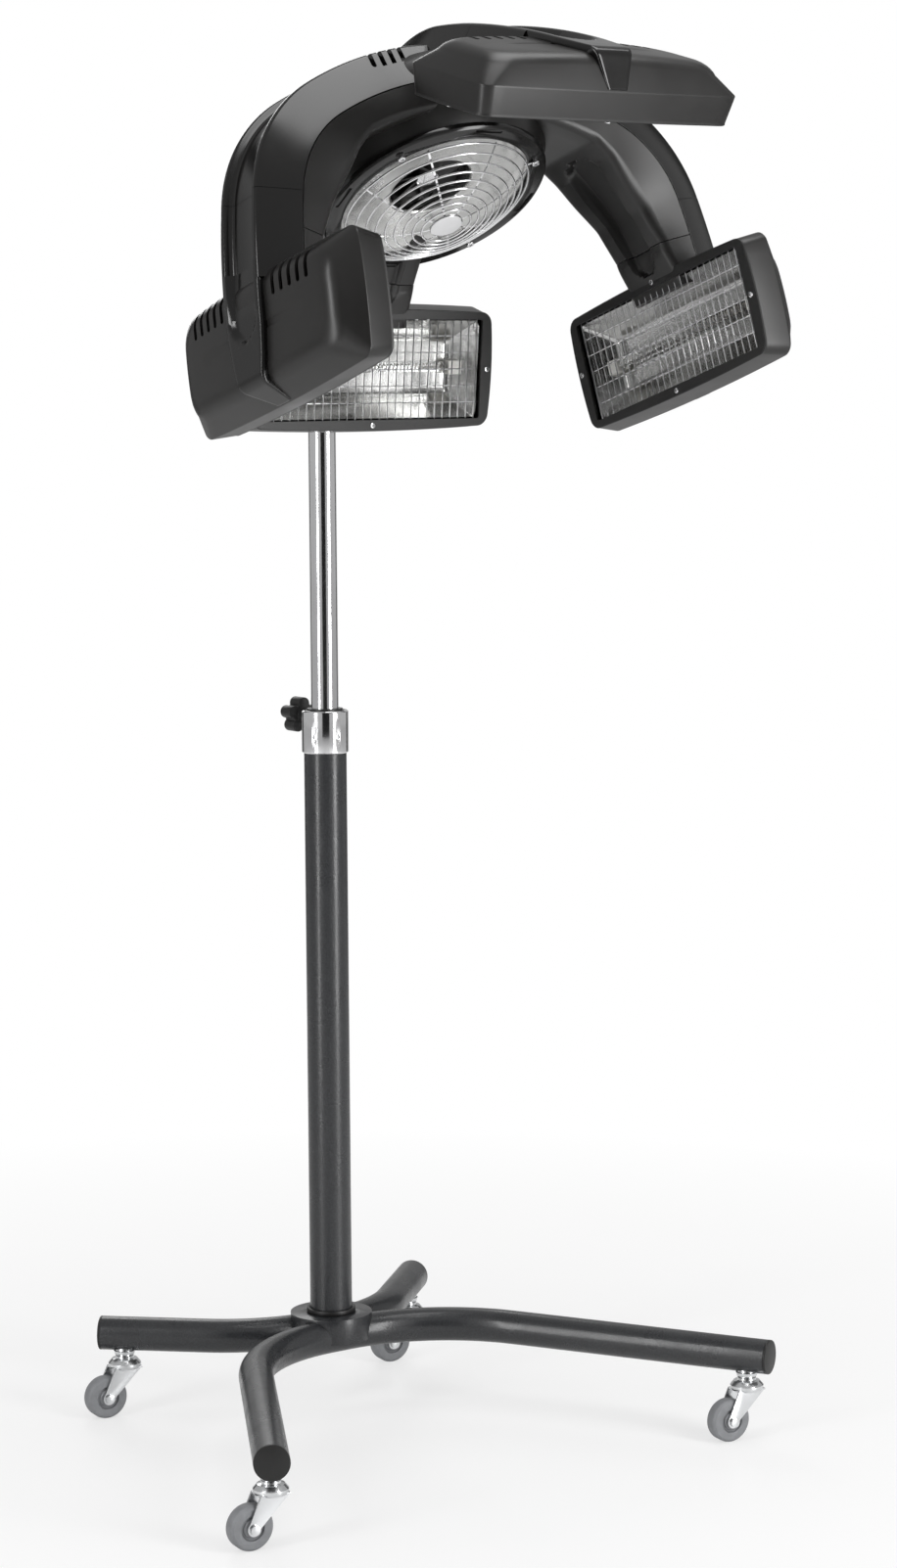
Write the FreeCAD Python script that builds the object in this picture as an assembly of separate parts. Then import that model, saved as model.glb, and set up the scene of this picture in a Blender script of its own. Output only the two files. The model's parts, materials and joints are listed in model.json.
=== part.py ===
import FreeCAD, Part
import math
import os

# Hair color processor: four infrared lamps and a fan on a curved head,
# carried by a telescopic column on a four-legged rolling base.
# Millimetres. +Z is up, -Y is the front (the client's side), +X is lateral.
# The origin is on the floor, on the axis of the column.

V = FreeCAD.Vector
X_AXIS, Y_AXIS, Z_AXIS = V(1, 0, 0), V(0, 1, 0), V(0, 0, 1)

# ---------------------------------------------------------------- clearances
RUNNING = 0.05          # radial play of a pin in its bore
SLIDING = 0.2           # play of the telescopic tube in its guides
SEAT = 0.3              # gap between bodies that nearly touch
LAP = 1.0               # how far a cutting tool passes a face

# ------------------------------------------------------------------- casters
WHEEL_DIA = 50.0
WHEEL_WIDTH = 18.0
WHEEL_HUB_DIA = 27.0
WHEEL_DISH = 2.5
WHEEL_GROOVE = 3.0
TYRE_ROUND = 3.0
AXLE_DIA = 6.0
AXLE_HEAD_DIA = 11.0
AXLE_HEAD_LENGTH = 4.0
CASTER_TRAIL = 25.5
CASTER_TRAIL_ANGLE = 172.5
FORK_PLATE = 2.0
FORK_SIDE_GAP = 1.6
FORK_EYE_DIA = 15.0
RACE_DIA = 39.0
RACE_HEIGHT = 12.0
RACE_ROUND = 2.0
RACE_CLEAR = 8.0
STEM_NUT_DIA = 22.0
STEM_NUT_HEIGHT = 3.0
STEM_DIA = 11.0
STEM_LENGTH = 26.0
SOCKET_DIA = 22.0
SOCKET_COLLAR_DIA = 26.0
SOCKET_COLLAR_HEIGHT = 6.0
CASTER_INSET = 29.0

# ---------------------------------------------------------------------- base
LEG_DIA = 40.0
LEG_WALL = 2.0
FRONT_TIP = (343.0, -404.0)
REAR_TIP = (227.0, 157.0)
FRONT_LEG_ANGLE = 60.5
REAR_LEG_ANGLE = 43.0
FRONT_BEND_R = 195.0
REAR_BEND_R = 180.0
LEG_PAIR_GAP = 0.6
CAP_THICKNESS = 3.0
CAP_PLUG = 14.0
HUB_DIA = 97.0
HUB_PLATE = 4.0
HUB_SKIRT = 30.0
HUB_WALL = 2.5
HUB_SADDLE = 1.0        # how deep the leg tubes lie in the hub plate
FOOT_RING_DIA = 58.0
FOOT_RING_HEIGHT = 6.0

# -------------------------------------------------------------------- column
COLUMN_DIA = 50.0
COLUMN_WALL = 2.0
COLUMN_LENGTH = 704.0
COLLAR_DIA = 55.0
COLLAR_HEIGHT = 50.0
COLLAR_CHAMFER = 1.5
COLLAR_LAP = 28.0
COLLAR_BOSS_DIA = 20.0
COLLAR_BOSS_REACH = 36.0
BUSH_DIA = 46.0
BUSH_LIP = 2.0
BUSH_LIP_DIA = 42.0
GRUB_DIA = 6.0
GRUB_SINK = 0.5
GRUB_BELOW_TOP = 30.0
GRUB_ANGLES = (210.0, 330.0, 270.0)
KNOB_BELOW_TOP = 10.0
KNOB_DIA = 43.0
KNOB_LOBES = 5
KNOB_LOBE_DIA = 15.0
KNOB_THICKNESS = 20.0
KNOB_NECK_DIA = 18.0
KNOB_NECK = 8.0
STUD_DIA = 8.0
CHROME_DIA = 32.0
CHROME_WALL = 1.5
CROWN_Z = 1611.0        # top of the head, which carries the heights below
CHROME_TOP_Z = CROWN_Z - 219.0
CHROME_FOOT_Z = 590.0
GUIDE_HEIGHT = 30.0

# ------------------------------------------------------- neck and tilt hinge
NECK_DIA = 46.0
NECK_LENGTH = 62.0
NECK_ROOF = 4.0
PIVOT_RISE = 33.0
FORK_GAP = 30.0
FORK_CHEEK = 9.0
FORK_ROUND = 17.0
TILT_PIN_DIA = 10.0
TILT_HEAD_DIA = 18.0
TILT_HEAD_LENGTH = 5.0
LUG_ROUND = 15.0
LUG_REACH = 84.0

# ----------------------------------------------------------------------- fan
FAN_Y = -229.0
FAN_Z = CROWN_Z - 178.0
FAN_TILT = 34.3
BEZEL_R = 130.0
BEZEL_HOLE_R = 110.0
BEZEL_THICK = 7.0
BEZEL_ROUND = 2.5
BEZEL_THROAT = 2.0      # the opening above the bezel is this much wider
BEZEL_SLOT_R = 122.0
BEZEL_SLOT = (34.0, 4.0, 3.0)
BEZEL_SLOTS = 4
GUARD_R = 107.0
GUARD_DOME = 33.0
GUARD_RINGS = 9
GUARD_SPOKES = 8
GUARD_WIRE = 2.4
WIRE_SIDES = 12
SPOKE_START = 10.0
GUARD_BOSS_R = 19.0
GUARD_BOSS_THICK = 3.0
GUARD_SCREW_R = 117.0
GUARD_SCREW_ANGLES = (40.0, 140.0, 220.0, 320.0)
GUARD_SCREW_DIA = 9.0
GUARD_SCREW_HEAD = 3.0
DISH_R = 106.0
DISH_OUTLET_R = 46.0
DISH_DEPTH = 10.0
DISH_KNEE = 30.0        # the dish is steep from its rim to here
DISH_KNEE_DEPTH = 7.0
DISH_LIP = 6.0
DISH_SHEET = 1.0
THROAT_HEIGHT = 22.0
SPIDER_HUB_R = 54.0
SPIDER_PLATE = 3.0
SPIDER_ARM = 14.0
SPIDER_ARMS = 4
MOTOR_DIA = 56.0
MOTOR_LENGTH = 30.0
MOTOR_POST_DIA = 6.0
MOTOR_POST_R = 49.0
IMPELLER_R = 43.0
IMPELLER_HUB_R = 13.0
IMPELLER_DEPTH = 16.0
IMPELLER_BLADES = 7
IMPELLER_SHEET = 2.0
IMPELLER_SINK = 10.0
IMPELLER_ROOM = 2.0
BLADE_PITCH = 50.0
MOTOR_ROOM = 8.0
SHAFT_DIA = 5.0

# --------------------------------------------------------- four-armed head
ARM_HALF = 36.0         # half width across the outer ridges
ARM_RIDGE = 8.0         # width of one ridge
CHANNEL_DEPTH = 10.0
CHANNEL_DRAFT = 2.0      # how far each side of the channel leans in
ARM_FLARE = 56.0        # half width at the parting line
ARM_PART = 47.0         # depth of the parting line
ARM_SOLE = 44.0         # half width of the inner face
ARM_DEPTH = 70.0
SHELL_WALL = 3.0
HOOP_TOP = 320.0        # above the side lamps, in the hoop's own plane
HOOP_CROWN_TURN = 28.0
CROWN_Y = -290.0
REAR_CROWN_TURN = 26.0
FRONT_CROWN_TURN = 2.0
DOME = ((0.0, 126.0), (45.0, 126.0), (80.0, 112.0), (106.0, 82.0), (118.0, 40.0))
DOME_PART = 45.0
VENT_COUNT = 4
VENT_WIDTH = 5.0
VENT_PITCH = 13.0
VENT_FIRST = 84.0
VENT_REACH = 16.0

# ---------------------------------------------------------------- the lamps
SIDE_LAMP = (240.5, -334.8, CROWN_Z - 334.3)
SIDE_LEAN = 16.2        # lean of the plane that holds the side arms
SIDE_BACK = 3.6         # angle of the lamp's back above horizontal
FRONT_LAMP = (-480.0, CROWN_Z - 100.4)
FRONT_BACK = 76.1
REAR_LAMP = (-110.0, CROWN_Z - 370.0)
REAR_BACK = 5.0
LAMP_HALF = 160.5       # half length of the mouth at its corners
LAMP_TALL = 65.0        # half height of the mouth at its corners
LAMP_BOW = 4.0          # how far the four edges bow out
LAMP_FLARE = 4.5
SKIRT_DEPTH = 32.0
CROWN_DEPTH = 68.0
CROWN_BOW_R = 1700.0
HIP_HALF, HIP_TALL, HIP_DEPTH = 142.0, 52.0, 64.0
LAMP_CORNER_R = 12.0
CROWN_EDGE_R = 12.0
LAMP_WALL = 2.5
LAMP_BEZEL = 3.0
WINDOW_HALF, WINDOW_TALL = 149.0, 57.0
LOUVRES = 5
LOUVRE_PITCH = 15.0
LOUVRE_WIDTH = 6.0
LOUVRE_DOWN = 8.0       # the slot runs this far down the hipped side
LOUVRE_IN = 19.0        # and this far over the crown
LOUVRE_FIRST = 52.0
WIRE_DIA = 1.6
WIRE_PITCH = 11.0
CROSS_WIRES = 5
WIRE_LAP = 3.0
LAMP_SCREW_DIA = 6.0
LAMP_SCREW_HEAD = 1.5
REFLECTOR_FLOOR_HALF, REFLECTOR_FLOOR_TALL = 128.0, 30.0
REFLECTOR_DEPTH = 34.0
REFLECTOR_SHEET = 0.8
REFLECTOR_FLANGE = 4.0
ELEMENT_DIA = 11.0
ELEMENT_DEPTH = 24.0
SOCKET_SIZE = (12.0, 16.0, 18.0)
SOCKET_CLIP = 2.0
SOCKET_STALK = 4.0
SOCKET_INSET = 5.6      # tube socket to the reflector's end wall

# ------------------------------------------------- arm ends and their hinges
SEAM_RISE = 148.0       # seam above the lamp's centre
SEAM_STEP = 43.0        # the inner half of the seam is this much lower
RIDGE_OVER_LAMP = 75.0  # outer ridge above the bezel plane at the lamp
END_SWEEP = 8.4         # turn of the arm between lamp and seam
HINGE_RISE = 12.0       # pin above the seam
HINGE_DEPTH = 18.0      # pin below the outer ridge
HINGE_PIN_DIA = 8.0
HINGE_BOSS_DIA = 20.0
HINGE_OPEN = 13.0       # wedge left for the swing
SEAM_GAP = 0.5
BLOCK_FOOT = 48.0       # the block reaches down to here beside the lamp
HOLLOW_FOOT = 80.0      # the block's hollow stops this far above it
TONGUE_CORNER = 58.0    # the tongue turns over the lamp's edge here
TONGUE_TURN = 68.0
TONGUE_THICK = 11.0
TONGUE_BEND_R = 14.0
TONGUE_LIFT = 2.0       # tongue's end above the skirt
TONGUE_TAPER = ((14.0, 36.0), (-30.0, 30.0), (-58.0, 24.0), (-90.0, 13.0))
CHANNEL_FOOT = -6.0

# ------------------------------------------------------------------ controls
PANEL_SIZE = (46.0, 84.0, 6.0)
PANEL_ROUND = 5.0
PANEL_LIP = 1.5
PANEL_TURN = 24.0       # how far round the rear shoulder the panel sits
SWITCH_SIZE = (15.0, 21.0, 9.0)
SWITCH_UP = 24.0
SWITCH_PLAY = 0.5
SWITCH_PIN_DIA = 2.0
DIAL_DIA = 32.0
DIAL_HEIGHT = 13.0
DIAL_TAPER = 2.0
DIAL_MARK = (2.0, 13.0, 1.0)
DIAL_DOWN = 16.0
DIAL_SHAFT_DIA = 6.0
BOARD_SIZE = (40.0, 70.0, 1.6)
BOARD_STANDOFF = 12.0
STANDOFF_DIA = 5.0
STANDOFF_SPAN = (28.0, 62.0)
RELAY_SIZE = (16.0, 12.0, 9.0)
RELAY_SPOTS = ((0.0, 18.0), (0.0, -2.0), (-9.0, -22.0), (10.0, -20.0))
GLAND_DIA = 17.0
GLAND_LENGTH = 12.0
GLAND_NECK_DIA = 12.0
GLAND_HOLE_DIA = 8.0
GLAND_THREAD = 6.0
GLAND_TURN = 36.0

nodes = {}


# ------------------------------------------------------------------- helpers
def placement(origin, x_dir, y_dir):
    """Placement that takes local X and Y to the given directions."""
    x_dir = V(x_dir).normalize()
    z_dir = x_dir.cross(y_dir).normalize()
    y_dir = z_dir.cross(x_dir)
    return FreeCAD.Placement(FreeCAD.Matrix(
        x_dir.x, y_dir.x, z_dir.x, origin.x,
        x_dir.y, y_dir.y, z_dir.y, origin.y,
        x_dir.z, y_dir.z, z_dir.z, origin.z,
        0, 0, 0, 1))


def put(shape, place):
    moved = shape.copy()
    moved.Placement = place.multiply(moved.Placement)
    return moved


def mirrored(shape):
    return shape.mirror(V(0, 0, 0), X_AXIS)


def rod(dia, start, end):
    axis = end.sub(start)
    return Part.makeCylinder(dia / 2, axis.Length, start, axis)


def tube(dia, bore, start, end):
    axis = end.sub(start).normalize()
    core = rod(bore, start.sub(axis * LAP), end.add(axis * LAP))
    return rod(dia, start, end).cut(core)


def block(size, centre):
    low = V(centre).sub(V(*size) * 0.5)
    return Part.makeBox(size[0], size[1], size[2], low)


def fuse(shapes):
    whole = shapes[0]
    if len(shapes) > 1:
        whole = whole.fuse(shapes[1:]).removeSplitter()
    return whole


def solid_of(shape):
    """Largest solid of a boolean result."""
    return max(shape.Solids, key=lambda solid: solid.Volume)


def revolved(points):
    """Solid of revolution about local Z from (radius, height) points."""
    corners = [V(radius, 0, height) for radius, height in points]
    face = Part.Face(Part.makePolygon(corners + corners[:1]))
    return face.revolve(V(0, 0, 0), Z_AXIS, 360)


def trace(start, heading, run):
    """Tangent path in the local XY plane: (radius, turn) arcs and (length, 0) straights."""
    edges = []
    point = V(start[0], start[1], 0)
    for radius, turn in run:
        side = 1 if turn > 0 else -1
        ahead = math.radians(heading)
        if turn == 0:
            end = point.add(V(math.cos(ahead), math.sin(ahead), 0) * radius)
            edges.append(Part.makeLine(point, end))
            point = end
            continue
        centre = point.add(V(-math.sin(ahead), math.cos(ahead), 0) * (side * radius))
        spoke = point.sub(centre)
        spin = FreeCAD.Rotation(Z_AXIS, turn / 2)
        middle = centre.add(spin.multVec(spoke))
        end = centre.add(spin.multVec(spin.multVec(spoke)))
        edges.append(Part.Arc(point, middle, end).toShape())
        point = end
        heading += turn
    return Part.Wire(edges)


def swept(start, heading, run, profile):
    """Sweep (depth, width) corners along a path; depth grows to the right of it."""
    ahead = math.radians(heading)
    inward = V(math.sin(ahead), -math.cos(ahead), 0)
    base = V(start[0], start[1], 0)
    corners = [base.add(inward * depth).add(Z_AXIS * width) for depth, width in profile]
    section = Part.makePolygon(corners + corners[:1])
    return solid_of(trace(start, heading, run).makePipeShell([section], True, False))


def prism(corners, half):
    """Prism of the given corners in the local XY plane, half to each side of it."""
    low = [corner.sub(Z_AXIS * half) for corner in corners + corners[:1]]
    return Part.Face(Part.makePolygon(low)).extrude(Z_AXIS * 2 * half)


def solve_arcs(start, heading, middle_heading, end, end_heading):
    """Radii of two tangent clockwise arcs from start to end."""
    first, joint, last = (math.radians(-h) for h in (heading, middle_heading, end_heading))
    across, drop = end[0] - start[0], start[1] - end[1]
    a11, a12 = math.sin(joint) - math.sin(first), math.sin(last) - math.sin(joint)
    a21, a22 = math.cos(first) - math.cos(joint), math.cos(joint) - math.cos(last)
    det = a11 * a22 - a12 * a21
    return (across * a22 - a12 * drop) / det, (a11 * drop - a21 * across) / det


def bowed(half, tall, bow, level):
    """Closed wire of four bowed sides in the local YZ plane at X = level."""
    corners = [V(level, tall, half), V(level, -tall, half), V(level, -tall, -half), V(level, tall, -half)]
    middles = [V(level, 0, half + bow), V(level, -tall - bow, 0),
               V(level, 0, -half - bow), V(level, tall + bow, 0)]
    edges = [Part.Arc(corners[i], middles[i], corners[(i + 1) % 4]).toShape() for i in range(4)]
    return Part.Wire(edges)


# --------------------------------------------------------------------- base
RACE_FOOT_Z = WHEEL_DIA + RACE_CLEAR
RACE_TOP_Z = RACE_FOOT_Z + RACE_HEIGHT
LEG_FOOT_Z = RACE_TOP_Z + STEM_NUT_HEIGHT + SOCKET_COLLAR_HEIGHT
LEG_Z = LEG_FOOT_Z + LEG_DIA / 2
COLUMN_FOOT_Z = LEG_Z + LEG_DIA / 2
COLUMN_TOP_Z = COLUMN_FOOT_Z + COLUMN_LENGTH
COLLAR_FOOT_Z = COLUMN_TOP_Z - COLLAR_LAP
COLLAR_TOP_Z = COLLAR_FOOT_Z + COLLAR_HEIGHT

LEGS = {
    "front_left": (-FRONT_TIP[0], FRONT_TIP[1], -FRONT_LEG_ANGLE),
    "front_right": (FRONT_TIP[0], FRONT_TIP[1], FRONT_LEG_ANGLE),
    "rear_left": (-REAR_TIP[0], REAR_TIP[1], REAR_LEG_ANGLE),
    "rear_right": (REAR_TIP[0], REAR_TIP[1], -REAR_LEG_ANGLE),
}


LEG_TUBES = {
    "front_leg_tube": (FRONT_TIP, FRONT_LEG_ANGLE, FRONT_BEND_R),
    "rear_leg_tube": (REAR_TIP, REAR_LEG_ANGLE, REAR_BEND_R),
}


def leg_direction(tip, angle):
    """Unit vector out along a leg."""
    side_x = 1 if tip[0] > 0 else -1
    side_y = 1 if tip[1] > 0 else -1
    turn = math.radians(abs(angle))
    return V(side_x * math.cos(turn), side_y * math.sin(turn), 0)


def leg_spine(tip, angle, bend, shorten):
    """Centre line of one bent tube, both legs, cut back at the tips."""
    side_y = 1 if tip[1] > 0 else -1
    middle_y = side_y * (LEG_DIA + LEG_PAIR_GAP) / 2
    turn = math.radians(angle)
    vertex_x = tip[0] - abs(tip[1] - middle_y) / math.tan(turn)
    tangent = bend * math.tan(turn / 2)
    out = leg_direction(tip, angle)
    end = V(tip[0], tip[1], LEG_Z).sub(out * shorten)
    vertex = V(vertex_x, middle_y, LEG_Z)
    bend_end = vertex.add(out * tangent)
    bend_start = V(vertex_x - tangent, middle_y, LEG_Z)
    centre = bend_start.add(V(0, side_y * bend, 0))
    middle = centre.add(vertex.sub(centre).normalize() * bend)
    flip = V(-1, 1, 1)

    def left(point):
        return V(point.x * flip.x, point.y, point.z)

    edges = [
        Part.makeLine(left(end), left(bend_end)),
        Part.Arc(left(bend_end), left(middle), left(bend_start)).toShape(),
        Part.makeLine(left(bend_start), bend_start),
        Part.Arc(bend_start, middle, bend_end).toShape(),
        Part.makeLine(bend_end, end),
    ]
    return Part.Wire(edges), left(end), left(out)


def pipe(spine, start, along, dia):
    ring = Part.Wire(Part.makeCircle(dia / 2, start, along))
    return solid_of(spine.makePipeShell([ring], True, False))


def wire_ring(radius, dia, level):
    """Ring of thin wire with a faceted section, about local Z."""
    corners = []
    for index in range(WIRE_SIDES):
        turn = 2 * math.pi * index / WIRE_SIDES
        corners.append((radius + dia / 2 * math.cos(turn), level + dia / 2 * math.sin(turn)))
    return revolved(corners)


def wire_bar(points, dia):
    """Thin wire with a faceted section along an arc through three points in a plane with Z."""
    edge = Part.Arc(*points).toShape()
    along = edge.tangentAt(edge.FirstParameter)
    across = along.cross(Z_AXIS).normalize()
    up = along.cross(across)
    corners = []
    for index in range(WIRE_SIDES):
        turn = 2 * math.pi * index / WIRE_SIDES
        offset = across * math.cos(turn) + up * math.sin(turn)
        corners.append(points[0].add(offset * (dia / 2)))
    section = Part.makePolygon(corners + corners[:1])
    return solid_of(Part.Wire(edge).makePipeShell([section], True, False))


def caster_spots():
    spots = {}
    for name, (x, y, angle) in LEGS.items():
        spots[name] = V(x, y, 0).sub(leg_direction((x, y), angle) * CASTER_INSET)
    return spots


def make_legs():
    for name, (tip, angle, bend) in LEG_TUBES.items():
        spine, start, along = leg_spine(tip, angle, bend, CAP_THICKNESS)
        outside = pipe(spine, start, along, LEG_DIA)
        longer, far_start, far_along = leg_spine(tip, angle, bend, CAP_THICKNESS - LAP)
        inside = pipe(longer, far_start, far_along, LEG_DIA - 2 * LEG_WALL)
        leg = outside.cut(inside)
        for spot in caster_spots().values():
            low = V(spot.x, spot.y, LEG_FOOT_Z - LAP)
            leg = leg.cut(rod(SOCKET_DIA, low, low.add(Z_AXIS * (LEG_DIA / 2))))
        nodes[name] = [solid_of(leg)]


def make_leg_plugs():
    caps, sockets = [], []
    for name, (x, y, angle) in LEGS.items():
        out = leg_direction((x, y), angle)
        face = V(x, y, LEG_Z)
        seat = face.sub(out * CAP_THICKNESS)
        plug = rod(LEG_DIA - 2 * LEG_WALL, seat.sub(out * CAP_PLUG), seat)
        disc = rod(LEG_DIA, seat, face)
        caps.append(disc.fuse(plug).removeSplitter())
    for spot in caster_spots().values():
        foot = V(spot.x, spot.y, RACE_TOP_Z + STEM_NUT_HEIGHT)
        collar = Part.makeCone(SOCKET_DIA / 2, SOCKET_COLLAR_DIA / 2, SOCKET_COLLAR_HEIGHT, foot, Z_AXIS)
        body = rod(SOCKET_DIA, foot, V(spot.x, spot.y, foot.z + STEM_LENGTH + LAP))
        bore = rod(STEM_DIA + 2 * RUNNING, foot.sub(Z_AXIS * LAP), V(spot.x, spot.y, foot.z + STEM_LENGTH))
        socket = collar.fuse(body).removeSplitter().cut(bore)
        sockets.append(solid_of(socket))
    nodes["leg_end_caps"] = caps
    nodes["caster_sockets"] = sockets


def make_hub():
    top = V(0, 0, COLUMN_FOOT_Z + HUB_PLATE)
    foot = V(0, 0, COLUMN_FOOT_Z + HUB_PLATE - HUB_SKIRT)
    cup = rod(HUB_DIA, foot, top)
    cup = cup.cut(rod(HUB_DIA - 2 * HUB_WALL, foot.sub(Z_AXIS * LAP), V(0, 0, COLUMN_FOOT_Z - HUB_SADDLE)))
    cup = cup.cut(rod(COLUMN_DIA, foot, top.add(Z_AXIS * LAP)))
    for tip, angle, bend in LEG_TUBES.values():
        spine, start, along = leg_spine(tip, angle, bend, CAP_THICKNESS)
        cup = cup.cut(pipe(spine, start, along, LEG_DIA))
    nodes["base_hub"] = [solid_of(cup)]
    ring_top = top.add(Z_AXIS * FOOT_RING_HEIGHT)
    ring = tube(FOOT_RING_DIA, COLUMN_DIA, top, ring_top)
    nodes["column_foot_ring"] = [ring]


def make_casters():
    side = WHEEL_WIDTH / 2 + FORK_SIDE_GAP
    axle_z = WHEEL_DIA / 2
    axle = V(CASTER_TRAIL, 0, axle_z)
    race_r = RACE_DIA / 2
    rim_foot, rim_top = RACE_FOOT_Z + RACE_HEIGHT / 4, RACE_FOOT_Z + RACE_HEIGHT / 2
    race = revolved([
        (0, RACE_FOOT_Z), (race_r - RACE_ROUND, RACE_FOOT_Z), (race_r, rim_foot), (race_r, rim_top),
        ((race_r + STEM_NUT_DIA / 2) / 2, RACE_TOP_Z - RACE_ROUND / 2), (STEM_NUT_DIA / 2, RACE_TOP_Z),
        (0, RACE_TOP_Z)])
    nut = rod(STEM_NUT_DIA, V(0, 0, RACE_TOP_Z), V(0, 0, RACE_TOP_Z + STEM_NUT_HEIGHT - SEAT))
    stem = rod(STEM_DIA, V(0, 0, RACE_TOP_Z), V(0, 0, RACE_TOP_Z + STEM_NUT_HEIGHT + STEM_LENGTH - SEAT))
    shoulder = race_r - FORK_PLATE
    top = RACE_FOOT_Z + FORK_PLATE
    eye_r = FORK_EYE_DIA / 2
    cheek = Part.Face(Part.makePolygon([
        V(-shoulder, 0, top), V(shoulder, 0, top), V(CASTER_TRAIL + eye_r, 0, axle_z),
        V(CASTER_TRAIL - eye_r, 0, axle_z), V(-shoulder, 0, top)])).extrude(Y_AXIS * FORK_PLATE)
    eye = rod(FORK_EYE_DIA, axle, axle.add(Y_AXIS * FORK_PLATE))
    leg = cheek.fuse(eye).removeSplitter()
    leg = leg.cut(rod(AXLE_DIA, axle.sub(Y_AXIS * LAP), axle.add(Y_AXIS * (FORK_PLATE + LAP))))
    legs = [leg.translated(V(0, side, 0)), leg.translated(V(0, -side - FORK_PLATE, 0))]
    crown = block((2 * shoulder, 2 * (side + FORK_PLATE), FORK_PLATE), V(0, 0, RACE_FOOT_Z + FORK_PLATE / 2))
    fork = solid_of(fuse([race, nut, stem, crown] + legs))
    reach = side + FORK_PLATE
    bolt = fuse([
        rod(AXLE_DIA, axle.sub(Y_AXIS * reach), axle.add(Y_AXIS * reach)),
        rod(AXLE_HEAD_DIA, axle.add(Y_AXIS * reach), axle.add(Y_AXIS * (reach + AXLE_HEAD_LENGTH))),
        rod(AXLE_HEAD_DIA, axle.sub(Y_AXIS * (reach + AXLE_HEAD_LENGTH)), axle.sub(Y_AXIS * reach))])
    half = WHEEL_WIDTH / 2
    radius, hub = WHEEL_DIA / 2, WHEEL_HUB_DIA / 2
    bore = AXLE_DIA / 2 + RUNNING
    tread = revolved([
        (hub, -half), (radius - TYRE_ROUND, -half), (radius, -half + TYRE_ROUND),
        (radius, half - TYRE_ROUND), (radius - TYRE_ROUND, half), (hub, half)])
    boss = hub - WHEEL_GROOVE
    web = half - WHEEL_DISH
    core = revolved([
        (bore, -half), (boss - LAP, -half), (boss, -web), (hub, -web),
        (hub, web), (boss, web), (boss - LAP, half), (bore, half)])
    upright = placement(axle, X_AXIS, V(0, 0, 1))
    wheel = [put(tread, upright), put(core, upright)]
    for name, spot in caster_spots().items():
        place = FreeCAD.Placement(spot, FreeCAD.Rotation(Z_AXIS, CASTER_TRAIL_ANGLE))
        nodes["caster_fork_" + name] = [put(fork, place), put(bolt, place)]
        nodes["caster_wheel_" + name] = [put(solid, place) for solid in wheel]


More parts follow.
